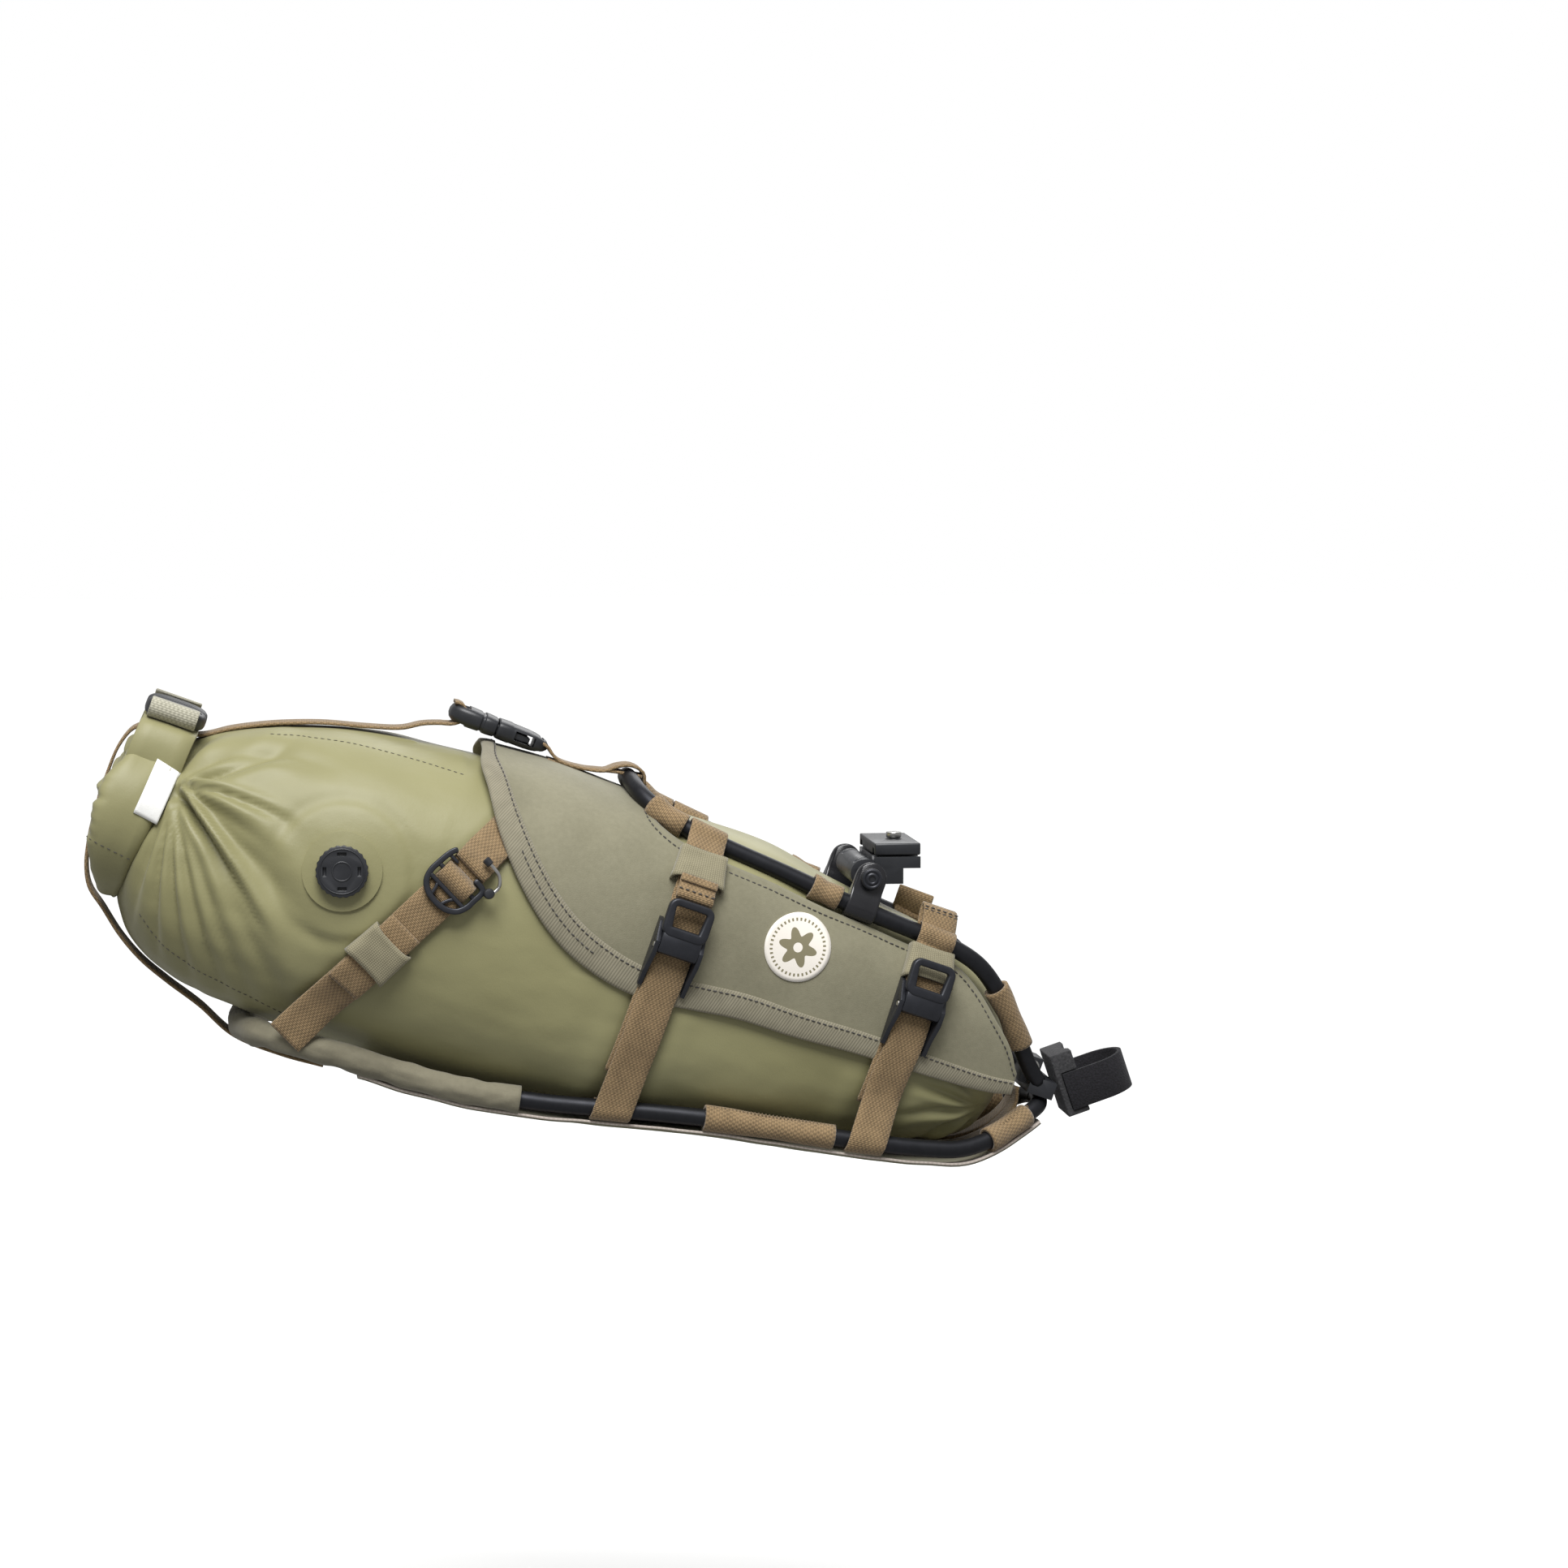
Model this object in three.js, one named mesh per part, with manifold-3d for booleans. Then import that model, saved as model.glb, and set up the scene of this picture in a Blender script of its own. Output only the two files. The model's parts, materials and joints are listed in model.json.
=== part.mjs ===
// Saddle bag: a roll-top drybag in a tubular harness that clamps to the saddle rails and straps to the seatpost.
// Millimetres, +Z up, +X towards the front of the bicycle, +Y to its left-hand side.
// The origin is on the seatpost's axis, at mid-height of the hook-and-loop strap.
import * as THREE from "three";
import { mergeVertices } from "three/addons/utils/BufferGeometryUtils.js";
import Module from "manifold-3d";

const bagTilt = 20; // degrees that the bag's rear end is raised
const postTilt = 18.4; // degrees that the seatpost leans back
const tubeRadius = 4.5;
const tubeSides = 8;
const webbingWidth = 20;
const webbingThickness = 1.6;
const gap = 0.35; // clearance between neighbouring pieces
const seatpostRadius = 13.6;
const panelInner = 0.6; // the panel's inner and outer faces, measured out from the harness form
const panelOuter = 2.0;
const strapLift = 4.2; // the middle of a strap's thickness, measured out from the harness form
const sideStrapStations = { rear: -246, front: -116 };
const buckleHeights = { rear: -4, front: 6 };
const blockDepth = 12;
const blockBack = -(seatpostRadius + blockDepth - 2.4); // the seatpost block's rear face
const railBandStation = -159;
const railSpacing = 44;
const railRadius = 3.5;

const wasm = await Module();
wasm.setup();

const saddleBag = new THREE.Group();
const bag = new THREE.Group(); // the bag's own axes: x forward along the bag, y to the left, z away from its belly
bag.rotation.y = THREE.MathUtils.degToRad(bagTilt);
saddleBag.add(bag);

const vec = (x, y, z) => new THREE.Vector3(x, y, z);
const sides = [
  ["left", 1],
  ["right", -1],
];

// ---------- materials ----------

const materialOf = (color, roughness, metalness = 0) => () =>
  new THREE.MeshStandardMaterial({ color, roughness, metalness });
const anodised = materialOf(0x2e2f33, 0.45, 0.6);
const blackPlastic = materialOf(0x33353a, 0.5);
const webbing = materialOf(0x8a7352, 0.9);
const waxedCloth = materialOf(0x8f8c70, 0.85);
const coatedCloth = materialOf(0x8c8a5f, 0.55);
const elastic = materialOf(0x8c8a6c, 0.9);
const foam = materialOf(0x3e3e40, 0.9);
const steel = materialOf(0xc8c8c8, 0.25, 0.9);

function addPiece(parent, name, geometry, material) {
  const piece = new THREE.Mesh(geometry, material());
  piece.name = name;
  parent.add(piece);
  return piece;
}

// ---------- solids from three.js geometry, joined and cut ----------

function solidOf(geometry) {
  const bare = new THREE.BufferGeometry();
  const source = geometry.index ? geometry.toNonIndexed() : geometry;
  bare.setAttribute("position", source.getAttribute("position"));
  const merged = mergeVertices(bare, 1e-4);
  return new wasm.Manifold(
    new wasm.Mesh({
      numProp: 3,
      vertProperties: merged.attributes.position.array,
      triVerts: new Uint32Array(merged.index.array),
    }),
  );
}

function geometryOf(solid) {
  const mesh = solid.getMesh();
  const geometry = new THREE.BufferGeometry();
  geometry.setAttribute("position", new THREE.BufferAttribute(mesh.vertProperties, 3));
  geometry.setIndex(new THREE.BufferAttribute(mesh.triVerts, 1));
  return geometry;
}

const join = (...geometries) => geometries.map(solidOf).reduce((a, b) => a.add(b));
const cut = (solid, ...geometries) => geometries.map(solidOf).reduce((a, b) => a.subtract(b), solid);

const largest = (solid) => solid.decompose().reduce((a, b) => (a.volume() > b.volume() ? a : b));

const box = (x, y, z, cx = 0, cy = 0, cz = 0) => new THREE.BoxGeometry(x, y, z).translate(cx, cy, cz);

// A round rod along Y.
const rodY = (radius, length, cx = 0, cy = 0, cz = 0, steps = 12) =>
  new THREE.CylinderGeometry(radius, radius, length, steps).translate(cx, cy, cz);

// A round rod along X.
const rodX = (radius, length, cx = 0, cy = 0, cz = 0, steps = 12) =>
  new THREE.CylinderGeometry(radius, radius, length, steps).rotateZ(Math.PI / 2).translate(cx, cy, cz);

// Skins a row of rings, each with the same number of points, and closes both ends.
function loft(rings) {
  const count = rings[0].length;
  const points = rings.flat();
  const faces = [];
  for (let r = 0; r + 1 < rings.length; r++)
    for (let i = 0; i < count; i++) {
      const a = r * count + i;
      const b = r * count + ((i + 1) % count);
      faces.push(a, b, b + count, a, b + count, a + count);
    }
  for (const [ring, outward] of [
    [0, false],
    [rings.length - 1, true],
  ]) {
    const middle = points.length;
    points.push(rings[ring].reduce((sum, p) => sum.add(p), vec(0, 0, 0)).divideScalar(count));
    for (let i = 0; i < count; i++) {
      const a = ring * count + i;
      const b = ring * count + ((i + 1) % count);
      faces.push(...(outward ? [a, b, middle] : [b, a, middle]));
    }
  }
  const geometry = new THREE.BufferGeometry().setFromPoints(points);
  geometry.setIndex(faces);
  return solidOf(geometry).volume() < 0 ? flipped(geometry) : geometry;
}

function flipped(geometry) {
  const faces = geometry.index.array;
  for (let i = 0; i < faces.length; i += 3) [faces[i], faces[i + 1]] = [faces[i + 1], faces[i]];
  return geometry;
}

// A flat band of rectangular section: each step has its middle point and the direction of its width.
function band(steps, width, thickness) {
  const rings = steps.map(({ point, across }, i) => {
    const before = steps[Math.max(i - 1, 0)].point;
    const after = steps[Math.min(i + 1, steps.length - 1)].point;
    const along = after.clone().sub(before).normalize();
    const out = across.clone().cross(along).normalize().multiplyScalar(thickness / 2);
    const half = across.clone().multiplyScalar(width / 2);
    return [
      point.clone().sub(half).sub(out),
      point.clone().add(half).sub(out),
      point.clone().add(half).add(out),
      point.clone().sub(half).add(out),
    ];
  });
  return loft(rings);
}

// A round tube, hollow if it is given a bore, along a curve.
function tube(curve, radius, bore, steps, sidesRound = tubeSides) {
  const section = new THREE.Shape().absarc(0, 0, radius, 0, 2 * Math.PI);
  if (bore) section.holes.push(new THREE.Path().absarc(0, 0, bore, 0, 2 * Math.PI, true));
  return new THREE.ExtrudeGeometry(section, {
    extrudePath: curve,
    steps,
    curveSegments: sidesRound / 2,
  });
}

// ---------- the harness form: the shape that the full bag gives to everything round it ----------

// station along the bag, top, bottom, half width, squareness of the section
const formStations = [
  [-372, 57, -112, 80, 2.5],
  [-330, 60, -110, 80, 2.6],
  [-287, 59, -106, 77, 2.8],
  [-241, 60, -100, 72, 3.0],
  [-206, 60, -92, 67, 3.0],
  [-172, 54, -84, 62, 3.0],
  [-140, 50, -75, 57, 3.0],
  [-117, 47, -70, 54, 3.0],
  [-87, 40, -62, 48, 3.0],
  [-62, 30, -52, 41, 3.0],
  [-42, 16, -36, 34, 3.0],
];

const drybagStations = [
  [-511.5, 2, -84, 43, 2.0],
  [-506, 10, -93, 53, 2.1],
  [-496, 18, -100, 61, 2.2],
  [-482, 26, -105.5, 68, 2.3],
  [-462, 34, -110, 74, 2.4],
  [-432, 43, -112, 79, 2.4],
  [-395, 49, -112, 81, 2.5],
  [-350, 53, -112, 80, 2.5],
  [-300, 56, -108, 78, 2.7],
  [-241, 58.5, -101, 71, 3.0],
  [-206, 58.5, -93, 66, 3.0],
  [-172, 52.5, -85, 61, 3.0],
  [-140, 48.5, -76, 56, 3.0],
  [-117, 45.5, -71, 53, 3.0],
  [-87, 36, -63, 46, 2.8],
  [-70, 24, -58, 38, 2.6],
  [-58, 8, -48, 27, 2.4],
  [-52, -10, -36, 13, 2.2],
];

// Reads a table of stations smoothly at one station.
function rowAt(table, station) {
  const last = table.length - 1;
  let i = 0;
  while (i < last - 1 && table[i + 1][0] < station) i++;
  const [p0, p1, p2, p3] = [i - 1, i, i + 1, i + 2].map((k) => table[Math.min(Math.max(k, 0), last)]);
  const f = THREE.MathUtils.clamp((station - p1[0]) / (p2[0] - p1[0]), 0, 1);
  return p1.slice(1).map((value, column) => {
    const c = column + 1;
    const slopeIn = p2[0] > p0[0] ? ((p2[c] - p0[c]) / (p2[0] - p0[0])) * (p2[0] - p1[0]) : 0;
    const slopeOut = p3[0] > p1[0] ? ((p3[c] - p1[c]) / (p3[0] - p1[0])) * (p2[0] - p1[0]) : 0;
    const f2 = f * f;
    const f3 = f2 * f;
    return (
      (2 * f3 - 3 * f2 + 1) * value +
      (f3 - 2 * f2 + f) * slopeIn +
      (3 * f2 - 2 * f3) * p2[c] +
      (f3 - f2) * slopeOut
    );
  });
}

function sectionRing(table, station, offset, count) {
  const [top, bottom, halfWidth, square] = rowAt(table, station);
  const ring = [];
  for (let i = 0; i < count; i++) {
    const turn = (2 * Math.PI * i) / count;
    const c = Math.cos(turn);
    const s = Math.sin(turn);
    ring.push(
      vec(
        station,
        (halfWidth + offset) * Math.sign(c) * Math.abs(c) ** (2 / square),
        (top + bottom) / 2 + ((top - bottom) / 2 + offset) * Math.sign(s) * Math.abs(s) ** (2 / square),
      ),
    );
  }
  return ring;
}

function hull(table, offset, from, to, steps, count = 40) {
  const rings = [];
  for (let i = 0; i <= steps; i++) rings.push(sectionRing(table, from + ((to - from) * i) / steps, offset, count));
  return loft(rings);
}

// The point of the form's side face at a station and a height, moved out by offset.
function onForm(station, height, side, offset, table = formStations) {
  const [top, bottom, halfWidth, square] = rowAt(table, station);
  const middle = (top + bottom) / 2;
  const reach = Math.min(Math.abs(height - middle) / ((top - bottom) / 2 + offset), 0.995);
  return vec(station, side * (halfWidth + offset) * (1 - reach ** square) ** (1 / square), height);
}

// The outward direction of the form's side face.
function outOf(station, height, side, table = formStations) {
  const d = 2;
  const p = onForm(station, height, side, 0, table);
  const ahead = onForm(station + d, height, side, 0, table).sub(p);
  const above = onForm(station, height + d, side, 0, table).sub(p);
  const out = ahead.cross(above).normalize();
  return out.y * side < 0 ? out.negate() : out;
}

// A group whose x runs along the bag, z up the form's side and y out of it, on the form's side face.
function placeOnForm(station, height, side, offset, turn = 0, table = formStations) {
  const place = new THREE.Group();
  const out = outOf(station, height, side, table);
  const up = vec(0, 0, 1).addScaledVector(out, -out.z).normalize();
  up.applyAxisAngle(vec(0, 1, 0), turn).addScaledVector(out, -up.dot(out)).normalize();
  place.matrixAutoUpdate = false;
  place.matrix.makeBasis(out.clone().cross(up), out, up);
  place.matrix.setPosition(onForm(station, height, side, 0, table).addScaledVector(out, offset));
  place.matrix.decompose(place.position, place.quaternion, place.scale);
  place.matrixAutoUpdate = true;
  bag.add(place);
  return place;
}

// ---------- frame tubes ----------

// Half of the lower loop on the left side, from the front to the rear: station, half width, height.
const lowerHalf = [
  [-27, 0.5, -21.5],
  [-27.5, 10, -22],
  [-30, 20, -24.5],
  [-40, 30, -35],
  [-52, 39, -47],
  [-66, 46, -55.5],
  [-84, 50.5, -60.5],
  [-117, 56, -67],
  [-165, 60, -75],
  [-199, 62, -81],
  [-244, 62, -91.5],
  [-284, 62, -101],
  [-325, 61, -108],
  [-385, 60, -111],
  [-410, 56, -113],
  [-426, 45, -115.5],
  [-434, 25, -118],
  [-435, 0, -118.5],
];

const upperHalf = [
  [-33.5, 19, -12],
  [-41, 22, -6],
  [-49, 27, 2],
  [-65, 35, 19],
  [-77, 39, 29.5],
  [-89, 42, 37],
  [-103, 44, 41],
  [-125, 46, 43],
  [-159, 48, 45],
  [-200, 48, 49],
  [-232, 48, 51.5],
  [-256, 47, 54],
  [-272, 43, 57.5],
  [-283, 34, 62],
  [-288, 18, 65.5],
  [-289, 0, 66.5],
];

const onSide = (half, side) => half.map(([s, w, t]) => vec(s, side * w, t));
const wholeCurve = (half) =>
  new THREE.CatmullRomCurve3([...onSide(half, 1), ...onSide(half, -1).reverse().slice(1)], false, "centripetal");
const halfCurve = (half, side) => new THREE.CatmullRomCurve3(onSide(half, side), false, "centripetal");
const lowerCurve = wholeCurve(lowerHalf);
const upperCurve = wholeCurve(upperHalf);

// The middle of the tube at a station along the bag.
function tubeAt(half, station, side) {
  const points = halfCurve(half, side).getSpacedPoints(400);
  return points.reduce((best, p) => (Math.abs(p.x - station) < Math.abs(best.x - station) ? p : best));
}

const tubeSteps = { lower: 54, upper: 44 };
const lowerTube = (extra) => tube(lowerCurve, tubeRadius + extra, 0, tubeSteps.lower);
const upperTube = (extra) => tube(upperCurve, tubeRadius + extra, 0, tubeSteps.upper);
const wrapOuter = gap + webbingThickness;
addPiece(bag, "lower_loop_tube", lowerTube(0), anodised);
addPiece(bag, "upper_hoop_tube", upperTube(0), anodised);

// Cloth and webbing wrapped round a tube: a sheath with the tube's own bends, kept between two stations.
const sheaths = {
  lower: solidOf(lowerTube(wrapOuter)).subtract(solidOf(lowerTube(gap))),
  upper: solidOf(upperTube(wrapOuter)).subtract(solidOf(upperTube(gap))),
};

function wrapRound(level, from, to, side) {
  const length = from - to;
  const reach = side ? 100 : 200;
  const keep = box(length, reach, 300, (from + to) / 2, (side * reach) / 2, 0);
  return geometryOf(largest(sheaths[level].intersect(solidOf(keep))));
}

addPiece(bag, "rear_sleeve", wrapRound("lower", -292, -500, 0), waxedCloth);

// Webbing laced round the tubes, which holds the cloth to them.
const laces = [
  ["upper", "rear", -258, -278],
  ["upper", "middle", -170, -189],
  ["upper", "front", -51, -76],
  ["lower", "rear", -133, -201],
  ["lower", "front", -35, -53],
];
for (const [sideName, side] of sides)
  for (const [level, place, from, to] of laces)
    addPiece(bag, `lace_${level}_${place}_${sideName}`, wrapRound(level, from, to, side), webbing);

// ---------- front bracket, seatpost block and strap ----------

function makeBracket() {
  const lug = { x: -37, z: -5.4, halfWidth: 11 };
  const body = join(box(14, 46, 9, -31, 0, -14), box(9, 2 * lug.halfWidth, 15, lug.x, 0, -8));
  const blockSide = box(80, 80, 120, blockBack + 40 - gap, 0, 0).rotateY(THREE.MathUtils.degToRad(-postTilt - bagTilt));
  const bracket = cut(body, lowerTube(gap), upperTube(gap), rodY(2 + gap, 80, lug.x, 0, lug.z), blockSide);
  addPiece(bag, "front_bracket", geometryOf(largest(bracket)), blackPlastic);
  const heads = [1, -1].map((side) => rodY(3.2, 1.8, lug.x, side * (lug.halfWidth + gap + 0.9), lug.z, 14));
  const screw = join(rodY(2, 2 * lug.halfWidth + 2, lug.x, 0, lug.z, 14), ...heads);
  addPiece(bag, "bracket_screw", geometryOf(screw), steel);
}
makeBracket();

function makePostMount() {
  const post = new THREE.Group();
  post.rotation.y = THREE.MathUtils.degToRad(-postTilt);
  saddleBag.add(post);
  const height = 34;
  const depth = blockDepth;
  const width = 30;
  const blockMiddle = blockBack + depth / 2;
  const block = solidOf(box(depth, width, height, blockMiddle, 0, 4));
  const seat = new THREE.CylinderGeometry(seatpostRadius + 0.2, seatpostRadius + 0.2, 80, 48).rotateX(Math.PI / 2);
  const inner = seatpostRadius + 0.4;
  const reach = blockMiddle - 1.2;
  const loop = (radius, back, tall) =>
    solidOf(new THREE.CylinderGeometry(radius, radius, tall, 48).rotateX(Math.PI / 2)).add(
      solidOf(box(-back, 2 * radius, tall, back / 2, 0, 0)),
    );
  const strap = loop(inner + 2.2, reach - 1.2, webbingWidth).subtract(loop(inner, reach + 1.2, 2 * webbingWidth));
  const slot = loop(inner + 2.2 + gap, reach - 1.2 - gap, webbingWidth + 2 * gap).subtract(
    loop(inner - gap, reach + 1.2 + gap, 2 * webbingWidth),
  );
  addPiece(post, "seatpost_block", geometryOf(largest(cut(block, seat).subtract(slot))), foam);
  addPiece(post, "seatpost_strap", geometryOf(strap), foam);
}
makePostMount();

// ---------- saddle rail clamp ----------

function makeRailClamp() {
  const bandWidth = 16;
  const axleHeight = 61.5;
  const axleRadius = 3;
  const eyeHalf = 2.4;
  for (const [sideName, side] of sides) {
    const middle = tubeAt(upperHalf, railBandStation, side);
    const outer = tubeRadius + 2;
    const rise = axleHeight - middle.z;
    const plate = new THREE.Shape();
    plate.absarc(0, 0, outer, Math.PI, 2 * Math.PI);
    plate.lineTo(outer, 2);
    plate.lineTo(eyeHalf, rise - 7);
    plate.lineTo(eyeHalf, rise + 7.5);
    plate.lineTo(-eyeHalf, rise + 7.5);
    plate.lineTo(-eyeHalf, rise - 7);
    plate.lineTo(-outer, 2);
    plate.closePath();
    const body = new THREE.ExtrudeGeometry(plate, { depth: bandWidth, bevelEnabled: false, curveSegments: 16 });
    body.rotateX(Math.PI / 2).rotateZ(Math.PI / 2).translate(middle.x - bandWidth / 2, middle.y, middle.z);
    const axleHole = rodY(axleRadius + gap, 40, middle.x, middle.y, axleHeight);
    addPiece(bag, `rail_band_${sideName}`, geometryOf(cut(solidOf(body), upperTube(gap), axleHole)), blackPlastic);
  }
  const span = 2 * 48;
  const axle = join(
    rodY(axleRadius, span + 6, railBandStation, 0, axleHeight, 20),
    ...[1, -1].map((side) => rodY(5.5, 3, railBandStation, side * (span / 2 + eyeHalf + gap + 1.5), axleHeight, 20)),
  );
  addPiece(bag, "rail_axle", geometryOf(axle), anodised);
  const level = new THREE.Group(); // level with the ground, as the saddle's rails are
  level.position.set(railBandStation, 0, axleHeight);
  level.rotation.y = -bag.rotation.y;
  bag.add(level);
  const railAt = { x: 17, z: 9 };
  const jawLength = 24;
  const jawWidth = 12;
  const grooves = [1, -1].map((side) => rodX(railRadius + 0.3, 60, 0, (side * railSpacing) / 2, railAt.z));
  const screwAt = { x: railAt.x + 2, radius: 2.2 };
  const lower = join(
    rodY(7.6, railSpacing + jawWidth, 0, 0, 0, 24),
    box(22, railSpacing + jawWidth, 9, 9, 0, -1),
    box(jawLength, railSpacing + jawWidth, 6, railAt.x, 0, railAt.z - 3.4),
  );
  const screwHole = new THREE.CylinderGeometry(2.6, 2.6, 60, 20).rotateX(Math.PI / 2).translate(screwAt.x, 0, 0);
  const axleHole = rodY(axleRadius + gap, 200);
  addPiece(level, "rail_jaw_lower", geometryOf(cut(lower, ...grooves, axleHole, screwHole)), blackPlastic);
  const upper = solidOf(box(jawLength, railSpacing + jawWidth, 6.2, railAt.x, 0, railAt.z + 3.5));
  addPiece(level, "rail_jaw_upper", geometryOf(cut(upper, ...grooves, screwHole)), blackPlastic);
  const headHeight = railAt.z + 6.6 + gap;
  const upright = (radius, length, z) =>
    new THREE.CylinderGeometry(radius, radius, length, 20).rotateX(Math.PI / 2).translate(screwAt.x, 0, z);
  const screw = join(upright(screwAt.radius, 22, headHeight - 11), upright(4, 3, headHeight + 1.5));
  addPiece(level, "rail_jaw_screw", geometryOf(screw), steel);
}
makeRailClamp();

// ---------- drybag ----------

const wholeDrybag = solidOf(hull(drybagStations, 0, drybagStations[0][0], -52, 24, 28));
const clearTubes = [lowerTube(3.6), upperTube(3.6)];
addPiece(bag, "drybag_body", geometryOf(largest(cut(wholeDrybag, ...clearTubes))), coatedCloth);

// The rolled top's rear edge: height from the middle as a share of its radius, and station.
const rollRearEdge = [
  [-1, -526.5],
  [-0.75, -534],
  [-0.4, -541],
  [0, -543.5],
  [0.5, -540],
  [1, -532],
];

function makeRoll() {
  const frontEdge = -512.2;
  const middle = -33;
  const radiusAcross = 43;
  const radiusUp = 37;
  const halfRadial = 8;
  const opening = 0.42; // half of the open arc at the top, in radians
  const steps = 16;
  const rearAt = (share) => {
    const after = rollRearEdge.findIndex(([height]) => height >= share - 1e-9);
    const [low, high] = [rollRearEdge[Math.max(after - 1, 0)], rollRearEdge[after]];
    const f = high[0] > low[0] ? (share - low[0]) / (high[0] - low[0]) : 0;
    return low[1] + (high[1] - low[1]) * f;
  };
  const stops = [];
  for (let i = 0; i <= steps; i++) {
    const turn = Math.PI / 2 + opening + ((2 * Math.PI - 2 * opening) * i) / steps;
    const rear = rearAt(Math.sin(turn));
    stops.push({
      point: vec((frontEdge + rear) / 2, radiusAcross * Math.cos(turn), middle + radiusUp * Math.sin(turn)),
      radial: vec(0, Math.cos(turn) / radiusAcross, Math.sin(turn) / radiusUp).normalize(),
      halfAxial: (frontEdge - rear) / 2,
    });
  }
  const rings = stops.map(({ point, radial, halfAxial }) => {
    const ring = [];
    for (let k = 0; k < 16; k++) {
      const a = (2 * Math.PI * k) / 16;
      const c = Math.cos(a);
      const s = Math.sin(a);
      const axial = vec(1, 0, 0).multiplyScalar(halfAxial * Math.sign(c) * Math.abs(c) ** 0.6);
      ring.push(
        point
          .clone()
          .add(axial)
          .addScaledVector(radial, halfRadial * Math.sign(s) * Math.abs(s) ** 0.6),
      );
    }
    return ring;
  });
  addPiece(bag, "drybag_roll", loft(rings), coatedCloth);
}
makeRoll();

// A side-release buckle along x, with its male half at -x: width across y, thickness along z.
function sideRelease(parent, name, { length, width, thickness }) {
  const wall = 1.8;
  const femaleLength = length * 0.52;
  const cavity = { y: width - 2 * wall, z: thickness - 2 * wall };
  const female = cut(
    join(
      box(femaleLength, width, thickness, femaleLength / 2, 0, 0),
      box(6, width * 0.86, 3, femaleLength + 2.9, 0, -thickness / 2 + 1.5),
    ),
    box(femaleLength - 2, cavity.y, cavity.z, femaleLength / 2 - 1.1, 0, 0),
    box(femaleLength * 0.42, width + 2, cavity.z, femaleLength * 0.58, 0, 0),
    box(3, width * 0.7, 6, femaleLength + 2.6, 0, -thickness / 2 + 1.5),
  );
  addPiece(parent, `${name}_female`, geometryOf(female), blackPlastic);
  const prong = { long: femaleLength - 4, y: 3.2, z: cavity.z - 0.8 };
  const baseLength = length - femaleLength - 8;
  const prongs = [1, -1].map((side) =>
    box(prong.long, prong.y, prong.z, prong.long / 2 - 0.9, side * (cavity.y / 2 - prong.y / 2 - 0.5), 0),
  );
  const male = cut(
    join(
      box(baseLength, width, thickness, -baseLength / 2 - 0.4, 0, 0),
      box(prong.long, 3, prong.z * 0.6, prong.long / 2 - 0.9, 0, 0),
      ...prongs,
      box(9, width, 3, -baseLength - 4.6, 0, -thickness / 2 + 1.5),
    ),
    box(4, width * 0.74, 6, -baseLength - 5, 0, -thickness / 2 + 1.5),
  );
  addPiece(parent, `${name}_male`, geometryOf(male), blackPlastic);
}

function makeClosureBuckle() {
  const place = new THREE.Group();
  place.position.set(-519, -1, 21.2);
  place.rotation.set(0, 0, Math.PI / 2);
  bag.add(place);
  sideRelease(place, "closure_buckle", { length: 62, width: 32, thickness: 9 });
}
makeClosureBuckle();

function makeValve() {
  const station = -416;
  const height = -21;
  const bore = 10;
  const flangeRadius = 20;
  const place = placeOnForm(station, height, -1, 0, 0, drybagStations);
  place.updateMatrixWorld(true);
  const toPlace = place.matrix.clone().invert();
  const bagOutside = hull(drybagStations, gap, -516, -340, 24, 80).applyMatrix4(toPlace);
  const flange = cut(join(rodY(flangeRadius, 8, 0, -2.4, 0, 36), rodY(bore, 3, 0, 2.6, 0, 28)), bagOutside);
  addPiece(place, "valve_flange", geometryOf(flange), coatedCloth);
  const knurls = 24;
  const outline = new THREE.Shape();
  for (let i = 0; i < 2 * knurls; i++) {
    const radius = i % 2 ? 12.6 : 13.2;
    const turn = (Math.PI * i) / knurls;
    const corner = [radius * Math.cos(turn), radius * Math.sin(turn)];
    if (i) outline.lineTo(...corner);
    else outline.moveTo(...corner);
  }
  outline.closePath();
  const cap = new THREE.ExtrudeGeometry(outline, { depth: 6, bevelEnabled: false });
  cap.rotateX(-Math.PI / 2).translate(0, 2, 0);
  const slots = [0, 1, 2, 3].map((i) =>
    box(4.4, 3, 1.6, 0, 7.6, 8.6).rotateY((Math.PI / 2) * i + 0.35),
  );
  const recess = rodY(bore + gap, 3, 0, 2.95, 0, 28);
  addPiece(place, "valve_cap", geometryOf(cut(solidOf(cap), recess, ...slots)), blackPlastic);
}
makeValve();

// ---------- harness cloth ----------

// The panel's outline on the side of the bag: station and height.
const panelOutline = [
  [-366, 90],
  [-366, 50],
  [-359, 40],
  [-350, 26],
  [-336, 9],
  [-319, -7],
  [-303, -18],
  [-284, -26],
  [-259, -31],
  [-226, -29],
  [-195, -26],
  [-127, -24],
  [-72, -23],
  [-49, -20],
  [-50, -10],
  [-59, 2],
  [-73, 14],
  [-87, 25],
  [-100, 31.5],
  [-125, 34],
  [-160, 37],
  [-200, 41],
  [-240, 44],
  [-262, 47],
  [-276, 53],
  [-284, 90],
];

function makePanel() {
  const outline = new THREE.Shape(panelOutline.map(([s, t]) => new THREE.Vector2(s, t)));
  const prism = new THREE.ExtrudeGeometry(outline, { depth: 240, bevelEnabled: false });
  prism.rotateX(Math.PI / 2).translate(0, 120, 0);
  const outer = solidOf(hull(formStations, panelOuter, -370, -44, 15, 28));
  const shell = cut(outer, hull(formStations, panelInner, -372, -42, 15, 28)).intersect(solidOf(prism));
  addPiece(bag, "harness_panel", geometryOf(largest(cut(shell, ...clearTubes))), waxedCloth);
}
makePanel();

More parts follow.
